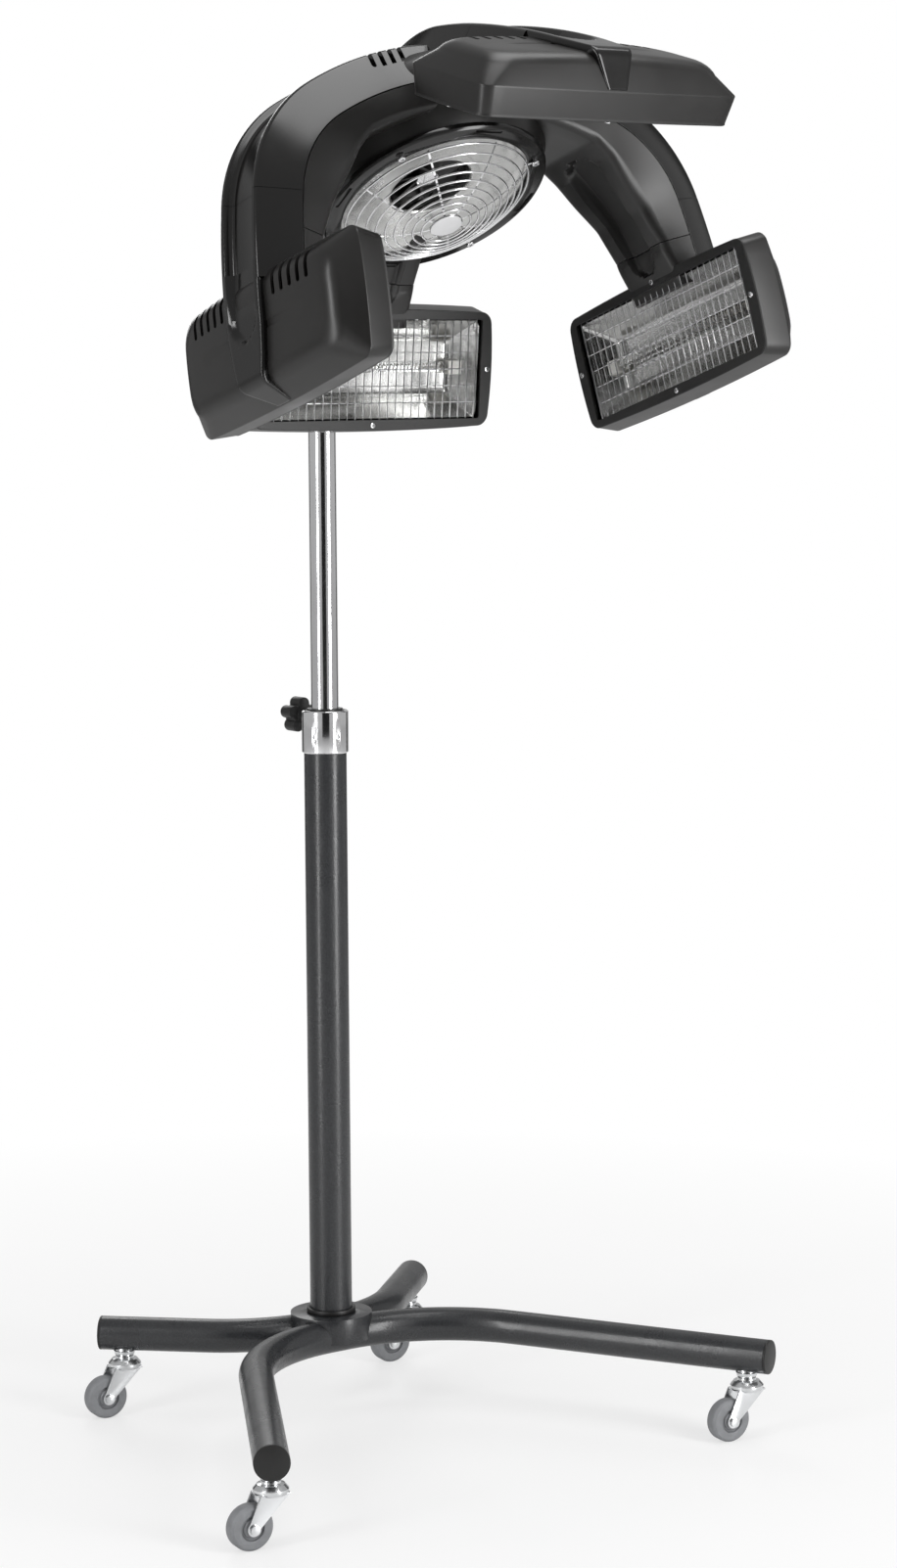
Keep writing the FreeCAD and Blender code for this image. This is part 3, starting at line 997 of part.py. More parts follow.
def lamp_pieces():
    """Solids of one lamp in its own plane: X to the back, Y up to the arm, Z along."""
    housing = lamp_form(0).cut(lamp_form(LAMP_WALL))
    foot = V(HIP_DEPTH - LOUVRE_DOWN, HIP_TALL - LOUVRE_IN, 0)
    louvre = block((CROWN_DEPTH, CROWN_DEPTH, LOUVRE_WIDTH), foot.add(V(CROWN_DEPTH / 2, CROWN_DEPTH / 2, 0)))
    louvre = fuse([louvre, rod(LOUVRE_WIDTH, foot, foot.add(X_AXIS * CROWN_DEPTH)),
                   rod(LOUVRE_WIDTH, foot, foot.add(Y_AXIS * CROWN_DEPTH))])
    for side in (-1, 1):
        for index in range(LOUVRES):
            along = side * (LOUVRE_FIRST + LOUVRE_PITCH * index)
            housing = housing.cut(louvre.translated(Z_AXIS * along))

    plate = Part.Face(bowed(LAMP_HALF, LAMP_TALL, LAMP_BOW, 0)).extrude(X_AXIS * LAMP_BEZEL)
    plate = plate.makeFillet(LAMP_CORNER_R, [edge for edge in plate.Edges if abs(edge.tangentAt(0).x) > 0.9])
    plate = plate.cut(block((4 * LAMP_BEZEL, 2 * WINDOW_TALL, 2 * WINDOW_HALF), V(0, 0, 0)))
    side_z = (LAMP_HALF + LAMP_BOW + WINDOW_HALF) / 2
    side_y = (LAMP_TALL + LAMP_BOW + WINDOW_TALL) / 2
    screws = []
    for spot in (V(0, 0, side_z), V(0, 0, -side_z), V(0, side_y, 0), V(0, -side_y, 0)):
        screws.append(rod(LAMP_SCREW_DIA, spot.sub(X_AXIS * LAMP_SCREW_HEAD), spot))
        shank = rod(LAMP_SCREW_DIA / 2, spot, spot.add(X_AXIS * LAMP_BEZEL))
        screws[-1] = screws[-1].fuse(shank).removeSplitter()
        plate = plate.cut(shank)

    wires = []
    level = LAMP_BEZEL + WIRE_DIA / 2
    count = int(2 * WINDOW_HALF / WIRE_PITCH)
    reach_y, reach_z = WINDOW_TALL + WIRE_LAP, WINDOW_HALF + WIRE_LAP
    for index in range(count):
        along = (index - (count - 1) / 2) * WIRE_PITCH
        wires.append(rod(WIRE_DIA, V(level, -reach_y, along), V(level, reach_y, along)))
    cross_pitch = 2 * WINDOW_TALL / (CROSS_WIRES + 1)
    for index in range(CROSS_WIRES):
        across = (index - (CROSS_WIRES - 1) / 2) * cross_pitch
        wires.append(rod(WIRE_DIA, V(level + WIRE_DIA, across, -reach_z), V(level + WIRE_DIA, across, reach_z)))

    mouth = LAMP_BEZEL + 2 * WIRE_DIA
    rim_half, rim_tall = WINDOW_HALF + WIRE_LAP, WINDOW_TALL + WIRE_LAP
    floor = mouth + REFLECTOR_DEPTH

    def trough(half, tall, floor_half, floor_tall, low, high):
        ends = []
        for h, t, x in ((half, tall, low), (floor_half, floor_tall, high)):
            corners = [V(x, t, h), V(x, -t, h), V(x, -t, -h), V(x, t, -h), V(x, t, h)]
            ends.append(Part.makePolygon(corners))
        return Part.makeLoft(ends, True, True)

    sheet = REFLECTOR_SHEET
    shell = trough(rim_half - REFLECTOR_FLANGE, rim_tall - REFLECTOR_FLANGE, REFLECTOR_FLOOR_HALF,
                   REFLECTOR_FLOOR_TALL, mouth, floor)
    flange = block((sheet, 2 * rim_tall, 2 * rim_half), V(mouth + sheet / 2, 0, 0))
    hollow = trough(rim_half - REFLECTOR_FLANGE - sheet, rim_tall - REFLECTOR_FLANGE - sheet,
                    REFLECTOR_FLOOR_HALF - sheet, REFLECTOR_FLOOR_TALL - sheet, mouth - sheet, floor - sheet)
    reflector = shell.fuse(flange).removeSplitter().cut(hollow)

    depth = mouth + ELEMENT_DEPTH - WIRE_DIA
    share = (depth - mouth) / REFLECTOR_DEPTH
    wall = (rim_half - REFLECTOR_FLANGE - sheet) * (1 - share) + (REFLECTOR_FLOOR_HALF - sheet) * share
    socket_end = wall - SOCKET_INSET
    glass_end = socket_end - SOCKET_SIZE[2]
    element = [rod(ELEMENT_DIA, V(depth, 0, -glass_end), V(depth, 0, glass_end))]
    seat = floor - sheet
    socket_back = depth + SOCKET_SIZE[0] / 2
    clip_end = min(socket_end, REFLECTOR_FLOOR_HALF - 2 * sheet)
    for side in (-1, 1):
        socket = block(SOCKET_SIZE, V(depth, 0, side * (socket_end - SOCKET_SIZE[2] / 2)))
        middle = side * (clip_end - SOCKET_SIZE[2] / 2)
        clip = block((SOCKET_CLIP, SOCKET_SIZE[1], SOCKET_SIZE[2]), V(seat - SOCKET_CLIP / 2, 0, middle))
        stalk = block((seat - socket_back, SOCKET_STALK, SOCKET_STALK), V((seat + socket_back) / 2, 0, middle))
        element.append(fuse([socket, clip, stalk]))
    return {
        "lamp_housing": [solid_of(housing)],
        "lamp_bezel": [solid_of(plate)],
        "lamp_grille": wires + screws,
        "lamp_reflector": [solid_of(reflector)],
        "lamp_tube": element,
        "arm_end": arm_end_pieces(),
    }


def arm_end_pieces():
    """The hinged end of an arm with its tongue over the lamp, and the hinge pin."""
    centre, ahead, inward = hinge_frame()
    start = (SEAM_OUT, SEAM_RISE)
    heading = -90 + END_SWEEP
    foot_turn = math.degrees(math.asin((SEAM_RISE - BLOCK_FOOT) / END_ARC_R))
    profile = OUTER_PROFILE[:6] + COVER_PROFILE[1:] + COVER_PROFILE[:1]
    body = swept(start, heading, [(END_ARC_R, -foot_turn)], profile)
    hollow_turn = math.degrees(math.asin((SEAM_RISE - HOLLOW_FOOT) / END_ARC_R))
    hollow = swept(start, heading, [(END_ARC_R, -hollow_turn)], CAVITY_PROFILE)
    body = body.cut(hollow)

    # the inner half of the seam is lower than the outer half
    step = math.degrees((SEAM_STEP + SEAM_GAP) / END_ARC_R)
    lap_profile = [(ARM_PART - SEAM_GAP, -ARM_FLARE - LAP), (ARM_PART - SEAM_GAP, ARM_FLARE + LAP),
                   (ARM_DEPTH + LAP, ARM_FLARE + LAP), (ARM_DEPTH + LAP, -ARM_FLARE - LAP)]
    body = body.cut(swept(start, heading, [(END_ARC_R, -step)], lap_profile))

    # gap at the seam, and a wedge on the outer side that lets the lamp swing out
    seam = V(start[0], start[1], 0)
    wide = 2 * ARM_FLARE
    lift = math.tan(math.radians(HINGE_OPEN))
    level = centre.add(ahead * (HINGE_RISE + SEAM_GAP))
    outer_edge = level.sub(inward * (HINGE_DEPTH + LAP)).add(ahead * (lift * (HINGE_DEPTH + LAP)))
    top = ahead * -(2 * HINGE_RISE)
    inner_edge = level.add(inward * ARM_DEPTH)
    body = body.cut(prism([inner_edge, level, outer_edge, outer_edge.add(top), inner_edge.add(top)], wide))

    # round end between the cheeks of the arm
    strip = OUTER_PROFILE[:6] + [(2 * HINGE_DEPTH, ARM_HALF), (2 * HINGE_DEPTH, -ARM_HALF)]
    back_start = seam.sub(ahead * (HINGE_RISE + HINGE_DEPTH + LAP))
    long_run = math.degrees((HINGE_RISE + HINGE_DEPTH + 3 * HINGE_RISE) / END_ARC_R)
    knuckle = swept((back_start.x, back_start.y), heading, [(END_ARC_R, -long_run)], strip)
    keep = knuckle_tool(0, ARM_HALF)
    tail = centre.add(ahead * (2 * HINGE_RISE))
    above = inward * (HINGE_DEPTH + SHELL_WALL)
    below = inward * HINGE_DEPTH
    stem = prism([centre.add(below), centre.sub(above), tail.sub(above), tail.add(below)], ARM_HALF)
    keep = keep.fuse(stem).removeSplitter()
    knuckle = knuckle.common(keep)
    bore = rod(HINGE_PIN_DIA, centre.sub(Z_AXIS * ARM_FLARE), centre.add(Z_AXIS * ARM_FLARE))
    pin_half = ARM_HALF + FLARE_RATE * HINGE_DEPTH - LAP
    pin = rod(HINGE_PIN_DIA, centre.sub(Z_AXIS * pin_half), centre.add(Z_AXIS * pin_half))

    # tongue over the back of the lamp
    tongue_depth = RIDGE_OVER_LAMP - CROWN_DEPTH - SEAT
    channel = tongue_depth - SHELL_WALL
    ribbed = [(0, -ARM_HALF), (0, -CHANNEL_HALF), (channel, -CHANNEL_FLOOR), (channel, CHANNEL_FLOOR),
              (0, CHANNEL_HALF), (0, ARM_HALF), (tongue_depth, ARM_HALF), (tongue_depth, -ARM_HALF)]
    plain = [(0, -ARM_HALF), (0, ARM_HALF), (TONGUE_THICK, ARM_HALF), (TONGUE_THICK, -ARM_HALF)]
    root_turn = math.degrees(math.asin(HOLLOW_FOOT / END_ARC_R))
    root = (RIDGE_OVER_LAMP - END_ARC_R * (1 - math.cos(math.radians(root_turn))), HOLLOW_FOOT)
    upper = swept(root, -90 + root_turn, [(END_ARC_R, -root_turn)], ribbed)
    ridge = RIDGE_OVER_LAMP
    mid = block((tongue_depth, -CHANNEL_FOOT, 2 * ARM_HALF), V(ridge - tongue_depth / 2, CHANNEL_FOOT / 2, 0))
    floor = block((channel, -CHANNEL_FOOT, 2 * CHANNEL_FLOOR), V(ridge - channel / 2, CHANNEL_FOOT / 2, 0))
    bite = TONGUE_BEND_R * math.tan(math.radians(TONGUE_TURN / 2))
    facet = (RIDGE_OVER_LAMP - SKIRT_DEPTH - TONGUE_LIFT) / math.sin(math.radians(TONGUE_TURN))
    lower = swept((RIDGE_OVER_LAMP, CHANNEL_FOOT), -90, [
        (TONGUE_CORNER - bite + CHANNEL_FOOT, 0), (TONGUE_BEND_R, -TONGUE_TURN), (facet - bite, 0)], plain)
    front = Part.Face(bowed(LAMP_HALF + SEAT, LAMP_TALL + SEAT, LAMP_BOW, -ARM_DEPTH))
    clear = lamp_form(-SEAT).fuse(front.extrude(X_AXIS * (ARM_DEPTH + LAMP_BEZEL)))
    taper = [V(0, up, half) for up, half in TONGUE_TAPER]
    outline = taper + [V(0, point.y, -point.z) for point in reversed(taper)]
    allowed = Part.Face(Part.makePolygon(outline + outline[:1])).extrude(X_AXIS * 2 * RIDGE_OVER_LAMP)
    tongue = fuse([upper, mid.cut(floor), fuse([lower]).common(allowed)])
    whole = fuse([body, solid_of(knuckle), tongue]).cut(clear).cut(bore)
    return [solid_of(whole), pin]


def make_lamps():
    for piece, solids in lamp_pieces().items():
        right = [put(solid, LAMPS["right"]) for solid in solids]
        nodes[piece + "_right"] = right
        nodes[piece + "_left"] = [mirrored(solid) for solid in right]
        for side in ("front", "rear"):
            nodes[piece + "_" + side] = [put(solid, LAMPS[side]) for solid in solids]


# ----------------------------------------------------------------- controls
def make_controls():
    plate = block(PANEL_SIZE, V(0, 0, PANEL_SIZE[2] / 2))
    upright = [e for e in plate.Edges if abs(e.Vertexes[0].Z - e.Vertexes[1].Z) > PANEL_SIZE[2] / 2]
    plate = plate.makeFillet(PANEL_ROUND, upright)
    switch_hole = block((SWITCH_SIZE[0] + 2 * SWITCH_PLAY, SWITCH_SIZE[1] + 2 * SWITCH_PLAY, 4 * PANEL_SIZE[2]),
                        V(0, SWITCH_UP, 0))
    plate = plate.cut(switch_hole)
    dial_axis = V(0, -DIAL_DOWN, 0)
    bore_top = dial_axis.add(Z_AXIS * 2 * PANEL_SIZE[2])
    plate = plate.cut(rod(DIAL_SHAFT_DIA + 2 * RUNNING, dial_axis.sub(Z_AXIS * LAP), bore_top))
    pin_z = PANEL_SIZE[2] - SWITCH_PIN_DIA
    pin_half = SWITCH_SIZE[0] / 2 + SWITCH_PLAY + SWITCH_PIN_DIA
    pin_hole = rod(SWITCH_PIN_DIA + 2 * RUNNING, V(-pin_half, SWITCH_UP, pin_z), V(pin_half, SWITCH_UP, pin_z))
    plate = plate.cut(pin_hole)
    standoffs = []
    for x in (-1, 1):
        for y in (-1, 1):
            foot = V(x * STANDOFF_SPAN[0] / 2, y * STANDOFF_SPAN[1] / 2, -BOARD_STANDOFF)
            standoffs.append(rod(STANDOFF_DIA, foot, V(foot.x, foot.y, LAP)))
    panel = fuse([solid_of(plate)] + standoffs)
    nodes["control_panel"] = [put(solid_of(panel), PANEL)]

    half_x, tip = SWITCH_SIZE[0] / 2, SWITCH_SIZE[1] / 2 - LAP
    rocker = rod(SWITCH_SIZE[2], V(-half_x, SWITCH_UP, pin_z), V(half_x, SWITCH_UP, pin_z))
    dip, rise = SWITCH_SIZE[2] / 3, SWITCH_SIZE[2] / 2 + SWITCH_PLAY
    outline = [(-tip, LAP), (0, -dip), (tip, LAP)]
    outline += [(tip - SWITCH_PLAY, rise), (0, dip), (SWITCH_PLAY - tip, rise)]
    rim = [V(-half_x, SWITCH_UP + y, pin_z + z) for y, z in outline + outline[:1]]
    wings = Part.Face(Part.makePolygon(rim)).extrude(X_AXIS * SWITCH_SIZE[0])
    pivot = rod(SWITCH_PIN_DIA, V(-pin_half + LAP, SWITCH_UP, pin_z), V(pin_half - LAP, SWITCH_UP, pin_z))
    nodes["power_switch"] = [put(solid_of(fuse([rocker, wings, pivot])), PANEL)]

    base = dial_axis.add(Z_AXIS * (PANEL_SIZE[2] + SEAT))
    grip = Part.makeCone(DIAL_DIA / 2, DIAL_DIA / 2 - DIAL_TAPER, DIAL_HEIGHT, base, Z_AXIS)
    shaft = rod(DIAL_SHAFT_DIA, dial_axis.add(Z_AXIS * SEAT), base.add(Z_AXIS * LAP))
    mark_at = V(0, DIAL_DIA / 4, DIAL_HEIGHT + DIAL_MARK[2] / 2 - SEAT / 2)
    mark = block(DIAL_MARK, base.add(mark_at))
    nodes["timer_dial"] = [put(solid_of(fuse([grip, shaft, mark])), PANEL)]

    board_z = -BOARD_STANDOFF - BOARD_SIZE[2] / 2
    board = block(BOARD_SIZE, V(0, 0, board_z))
    relay_z = board_z - BOARD_SIZE[2] / 2 - RELAY_SIZE[2] / 2
    relays = [block(RELAY_SIZE, V(x, y, relay_z)) for x, y in RELAY_SPOTS]
    nodes["circuit_board"] = [put(solid, PANEL) for solid in [board] + relays]


def make_gland():
    """Cord gland in the rear arm, between the panel and the tilt lug."""
    body = Part.makeCylinder(GLAND_DIA / 2, GLAND_LENGTH, V(0, 0, 0))
    neck = Part.makeCylinder(GLAND_NECK_DIA / 2, GLAND_THREAD + LAP, V(0, 0, -GLAND_THREAD))
    bore = Part.makeCylinder(GLAND_HOLE_DIA / 2, 4 * GLAND_LENGTH, V(0, 0, -2 * GLAND_LENGTH))
    nodes["cord_gland"] = [put(solid_of(fuse([body, neck]).cut(bore)), GLAND)]


# --------------------------------------------------------------------- build
make_legs()
make_leg_plugs()
make_hub()
make_casters()
make_column()
make_neck()
make_fan()
make_head()
make_lamps()
make_controls()
make_gland()

os.makedirs("parts", exist_ok=True)
for name, solids in nodes.items():
    shape = solids[0] if len(solids) == 1 else Part.makeCompound(solids)
    shape.exportStep("parts/" + name + ".step")
    print(name, len(solids), "valid" if shape.isValid() else "INVALID", round(shape.Volume / 1000, 1), "cm3")
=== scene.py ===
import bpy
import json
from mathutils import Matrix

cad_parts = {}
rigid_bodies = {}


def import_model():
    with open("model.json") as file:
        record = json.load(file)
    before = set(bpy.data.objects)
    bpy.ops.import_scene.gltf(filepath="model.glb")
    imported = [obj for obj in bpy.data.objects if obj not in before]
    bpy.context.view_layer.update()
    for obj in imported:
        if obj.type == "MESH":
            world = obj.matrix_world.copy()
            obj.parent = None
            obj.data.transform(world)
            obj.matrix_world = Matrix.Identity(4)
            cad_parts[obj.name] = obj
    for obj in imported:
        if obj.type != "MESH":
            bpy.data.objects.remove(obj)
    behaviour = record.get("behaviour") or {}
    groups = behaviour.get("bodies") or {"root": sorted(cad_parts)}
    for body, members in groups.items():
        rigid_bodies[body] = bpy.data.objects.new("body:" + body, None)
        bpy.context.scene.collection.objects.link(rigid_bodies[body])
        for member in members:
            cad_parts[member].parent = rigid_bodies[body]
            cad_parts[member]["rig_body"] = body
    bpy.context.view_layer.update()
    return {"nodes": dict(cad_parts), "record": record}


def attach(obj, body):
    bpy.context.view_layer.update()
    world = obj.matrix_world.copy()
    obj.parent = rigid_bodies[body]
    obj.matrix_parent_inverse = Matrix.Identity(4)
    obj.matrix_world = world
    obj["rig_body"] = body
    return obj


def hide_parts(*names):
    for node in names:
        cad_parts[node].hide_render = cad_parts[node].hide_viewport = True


bl_info = {
    "name": "Hair color processor",
    "version": (1, 0, 0),
    "blender": (4, 5, 0),
    "location": "View3D > Sidebar > Processor",
    "description": "Builds the lamps, head, column and rolling base of a salon hair color processor",
    "category": "Add Mesh",
}

import json
import math

import bmesh
import bpy
from bpy.props import FloatProperty, FloatVectorProperty, IntProperty, PointerProperty
from bpy.types import Operator, Panel, PropertyGroup
from mathutils import Matrix, Vector

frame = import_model()

# Lengths are in metres and angles in degrees, as in the solids of the frame.
SIDES = ("front", "rear", "left", "right")
CORNERS = ("front_left", "front_right", "rear_left", "rear_right")

ARM_HALF = 0.036
CHANNEL_HALF = 0.028
CHANNEL_FLOOR = 0.026
CHANNEL_DEPTH = 0.010
ARM_FLARE = 0.056
ARM_PART = 0.047
ARM_SOLE = 0.044
ARM_DEPTH = 0.070
PART_LINE = 0.0004

SIDE_LAMP = (0.2405, -0.3348, 1.2767)
SIDE_LEAN = 16.2
SIDE_BACK = 3.6
FRONT_LAMP = (0.480, 1.5106)
FRONT_BACK = 76.1
REAR_LAMP = (-0.110, 1.2410)
REAR_BACK = 5.0
HOOP_TOP = 0.320
HOOP_CROWN_TURN = 28.0
CROWN_Y, CROWN_Z = -0.290, 1.611
REAR_CROWN_TURN = 26.0
FRONT_CROWN_TURN = 2.0

LAMP_HALF, LAMP_TALL = 0.1605, 0.065
LAMP_BOW = 0.004
LAMP_FLARE = 0.0045
CROWN_HALF, CROWN_TALL = 0.1432, 0.0505
CROWN_DEPTH = 0.068
CROWN_BOW_R = 1.7
HIP_TALL, HIP_DEPTH = 0.052, 0.064
GRILLE_HALF, GRILLE_TALL, GRILLE_LEVEL = 0.152, 0.060, 0.003
BARS, BAR_PITCH = 27, 0.011
RAILS, RAIL_PITCH = 5, 0.019
SHEET_MOUTH, MOUTH_TALL, MOUTH_HALF = 0.0062, 0.056, 0.148
SHEET_FLOOR, FLOOR_TALL, FLOOR_HALF = 0.0402, 0.030, 0.128
TUBE_DEPTH, TUBE_HALF, TUBE_R = 0.0286, 0.124, 0.0055
FILAMENT_R, COIL_R, COIL_MARGIN, COIL_STEPS = 0.0006, 0.0024, 0.008, 10
LAMP_CORNER = 0.012
CROWN_CORNER = 0.022
CROWN_ROUND = 0.022
CROWN_STEPS = 6
LONG_STEPS, SHORT_STEPS, TURN_STEPS = 24, 10, 6
HOUSING_WALL = 0.0025
BEZEL_LEVEL = 0.003
WINDOW_HALF, WINDOW_TALL = 0.149, 0.057
LOUVRES = 5
LOUVRE_PITCH = 0.015
LOUVRE_WIDTH = 0.006
LOUVRE_FIRST = 0.052
LOUVRE_DOWN, LOUVRE_IN, LOUVRE_REACH = 0.014, 0.026, 0.060

SEAM_RISE = 0.148
SEAM_STEP = 0.043
SEAM_GAP = 0.0005
RIDGE_OVER_LAMP = 0.075
END_SWEEP = 8.4
BLOCK_FOOT = 0.050
STRAP_START = 0.070
TONGUE_CORNER = 0.0568
TONGUE_TURN = 68.0
TONGUE_BEND_R = 0.014
TONGUE_THICK = 0.011
TONGUE_TAPER = ((0.0, 0.95), (0.030, 0.84), (0.058, 0.67))
TONGUE_TIP = 0.36
STRAP_STEP = 0.0025
SKIRT_DEPTH = 0.032
RECESS_PAST, RECESS_SHALLOW, RECESS_EDGE = 0.010, 0.0058, 0.008

ROOT_SWELL, WAIST_SWELL, SEAM_SWELL = 0.010, 0.0295, 0.011
WAIST = 0.11
TROUGH_HALF = 0.022
TROUGH_DEPTH = 0.006
TROUGH_FOOT = 0.026
VENTS = 4
VENT_FIRST, VENT_PITCH = 0.084, 0.013
VENT_WIDTH, VENT_REACH = 0.006, 0.016
HOOP_TROUGH = 0.20
SPINE_TROUGH = 0.24

FAN_Y, FAN_Z, FAN_TILT = -0.229, 1.433, 34.3
HUB_CAP_Z = 0.0218
GUARD_R = 0.107
GUARD_DOME = 0.033
GUARD_BOSS_R = 0.019
GUARD_RINGS = 9
WIRE_SIDES = 12
GUARD_SPOKES = 8
SPOKE_START = 10.0
SCREW_ANGLES = (40, 140, 220, 320)
SCREW_RING = 0.117
BEZEL_THICK = 0.007
PIVOT = Vector((0.0, 0.0, 1.425))
LUG_HALF = 0.0147
CAMERA_HEADING, CAMERA_PITCH, CAMERA_ROLL = 35.336, 6.697, 0.379
CAMERA_ASIDE, CAMERA_BACK, CAMERA_HEIGHT = 0.1444, 4.2529, 1.2558
FOCAL, FRAME_TALL, SENSOR = 3720.0, 1602.0, 36.0
DIFFUSE_ROOM, MIRRORED_ROOM = 0.4, 0.45


# ------------------------------------------------------------ planes and paths
def plane(origin, x_dir, y_dir):
    """Matrix whose X and Y columns are the given directions."""
    x_dir = Vector(x_dir).normalized()
    z_dir = x_dir.cross(Vector(y_dir)).normalized()
    y_dir = z_dir.cross(x_dir)
    matrix = Matrix((x_dir, y_dir, z_dir)).transposed().to_4x4()
    matrix.translation = Vector(origin)
    return matrix


def polar(length, degrees):
    turn = math.radians(degrees)
    return Vector((length * math.cos(turn), length * math.sin(turn), 0.0))


SIDE_PLANE = plane((0.0, SIDE_LAMP[1], SIDE_LAMP[2]), (1, 0, 0),
                   (0, math.sin(math.radians(SIDE_LEAN)), math.cos(math.radians(SIDE_LEAN))))
FRONT_PLANE = plane((0, 0, 0), (0, -1, 0), (0, 0, 1))
REAR_PLANE = plane((0, 0, 0), (0, 1, 0), (0, 0, 1))
SIDE_SPOT = Vector((SIDE_LAMP[0], 0.0, 0.0))
FRONT_SPOT = Vector((FRONT_LAMP[0], FRONT_LAMP[1], 0.0))
REAR_SPOT = Vector((REAR_LAMP[0], REAR_LAMP[1], 0.0))
MIRROR_X = Matrix.Scale(-1, 4, (1, 0, 0))


def lamp_plane(spot, back, base):
    """Matrix of a lamp: X out of its back, Y up to its arm, Z along it."""
    return base @ plane(spot, polar(1, back), polar(1, back + 90))


LAMP_PLANES = {
    "right": lamp_plane(SIDE_SPOT, SIDE_BACK, SIDE_PLANE),
    "front": lamp_plane(FRONT_SPOT, FRONT_BACK, FRONT_PLANE),
    "rear": lamp_plane(REAR_SPOT, REAR_BACK, REAR_PLANE),
}
LAMP_PLANES["left"] = MIRROR_X @ LAMP_PLANES["right"]

END_ARC_R = SEAM_RISE / math.sin(math.radians(END_SWEEP))
SEAM_OUT = RIDGE_OVER_LAMP - END_ARC_R * (1 - math.cos(math.radians(END_SWEEP)))

FAN_UP = Vector((0, math.sin(math.radians(FAN_TILT)), math.cos(math.radians(FAN_TILT))))
FAN = plane((0, FAN_Y, FAN_Z), (1, 0, 0), FAN_UP.cross(Vector((1, 0, 0))))


def solve_arcs(start, heading, middle_heading, end, end_heading):
    """Radii of two tangent clockwise arcs from start to end."""
    first, joint, last = (math.radians(-h) for h in (heading, middle_heading, end_heading))
    across, drop = end.x - start.x, start.y - end.y
    a11, a12 = math.sin(joint) - math.sin(first), math.sin(last) - math.sin(joint)
    a21, a22 = math.cos(first) - math.cos(joint), math.cos(joint) - math.cos(last)
    det = a11 * a22 - a12 * a21
    return (across * a22 - a12 * drop) / det, (a11 * drop - a21 * across) / det


def arm_run(start, crown_turn, spot, back):
    """Arcs of a main arm from its crown to the seam above a lamp."""
    end = spot + polar(SEAM_RISE, back + 90) + polar(SEAM_OUT, back)
    end_heading = back - 90 + END_SWEEP
    first, second = solve_arcs(start, 0, -crown_turn, end, end_heading)
    return [(first, -crown_turn), (second, crown_turn + end_heading)]


SIDE_CROWN = Vector((0.0, HOOP_TOP, 0.0))
FRONT_CROWN = Vector((-CROWN_Y, CROWN_Z, 0.0))
REAR_CROWN = Vector((CROWN_Y, CROWN_Z, 0.0))
SIDE_RUN = arm_run(SIDE_CROWN, HOOP_CROWN_TURN, SIDE_SPOT, SIDE_BACK)
FRONT_RUN = arm_run(FRONT_CROWN, FRONT_CROWN_TURN, FRONT_SPOT, FRONT_BACK)
REAR_RUN = arm_run(REAR_CROWN, REAR_CROWN_TURN, REAR_SPOT, REAR_BACK)
COVER_TAIL = [(END_ARC_R, -math.degrees(SEAM_STEP / END_ARC_R))]


class Path:
    """Tangent arcs (radius, turn) and straights (length, 0) in a plane."""

    def __init__(self, start, heading, run):
        self.legs = []
        point, station = Vector(start), 0.0
        for size, turn in run:
            length = size * math.radians(abs(turn)) if turn else size
            self.legs.append((station, length, point.copy(), heading, size, turn))
            point = self.place(station + length)[0]
            heading += turn
            station += length
        self.length = station

    def place(self, station):
        """Point and heading at a distance along the path."""
        for start, length, point, heading, size, turn in self.legs:
            if station <= start + length + 1e-9 or (start, length) == self.legs[-1][:2]:
                break
        if turn == 0:
            return point + polar(station - start, heading), heading
        side = 1 if turn > 0 else -1
        swept = side * math.degrees((station - start) / size)
        centre = point + polar(side * size, heading + 90)
        spoke = point - centre
        return centre + Matrix.Rotation(math.radians(swept), 3, "Z") @ spoke, heading + swept


def wrap(bm, path, verts=None):
    """Bends a straight bar, drawn along +Y, onto a path; its X stays the outer side."""
    for vert in verts or bm.verts:
        out, station, width = vert.co
        point, heading = path.place(station)
        vert.co = point + polar(out, heading + 90) + Vector((0, 0, width))


# --------------------------------------------------------------- mesh helpers
def moved(bm, matrix):
    bmesh.ops.transform(bm, matrix=matrix, verts=bm.verts)
    return bm


def outward(bm):
    bmesh.ops.recalc_face_normals(bm, faces=bm.faces)
    return bm


def grown_verts(result):
    """The new points of an extrusion."""
    return [item for item in result["geom"] if isinstance(item, bmesh.types.BMVert)]


def round_off(bm, geom, radius, segments=2, affect="EDGES", clamp=False):
    """Rounds edges, or the corners of a section."""
    bmesh.ops.bevel(bm, geom=geom, offset=radius, offset_type="OFFSET", segments=segments, profile=0.5,
                    affect=affect, clamp_overlap=clamp, material=-1)


def section(corners, rounds, segments):
    """Flat face in XZ through the corners, each with its rounding."""
    bm = bmesh.new()
    verts = [bm.verts.new((x, 0.0, z)) for x, z in corners]
    bm.faces.new(verts)
    for radius in sorted(set(rounds) - {0}):
        chosen = [vert for vert, size in zip(verts, rounds) if size == radius]
        round_off(bm, chosen, radius, segments, "VERTICES")
    return bm


def bar(profile, rounds, length, cuts):
    """Straight bar along +Y from a section of (out, width) corners, each with its rounding."""
    bm = section(profile, rounds, 4)
    far = grown_verts(bmesh.ops.extrude_face_region(bm, geom=bm.faces[:]))
    bmesh.ops.translate(bm, verts=far, vec=(0, length, 0))
    if cuts:
        rails = [e for e in bm.edges if abs(e.verts[0].co.y - e.verts[1].co.y) > length / 2]
        bmesh.ops.subdivide_edges(bm, edges=rails, cuts=cuts)
    return bm


def drop_cap(bm):
    """Opens the start of a bar that will be joined to another."""
    caps = [f for f in bm.faces if all(abs(v.co.y) < 1e-7 for v in f.verts)]
    bmesh.ops.delete(bm, geom=caps, context="FACES_ONLY")


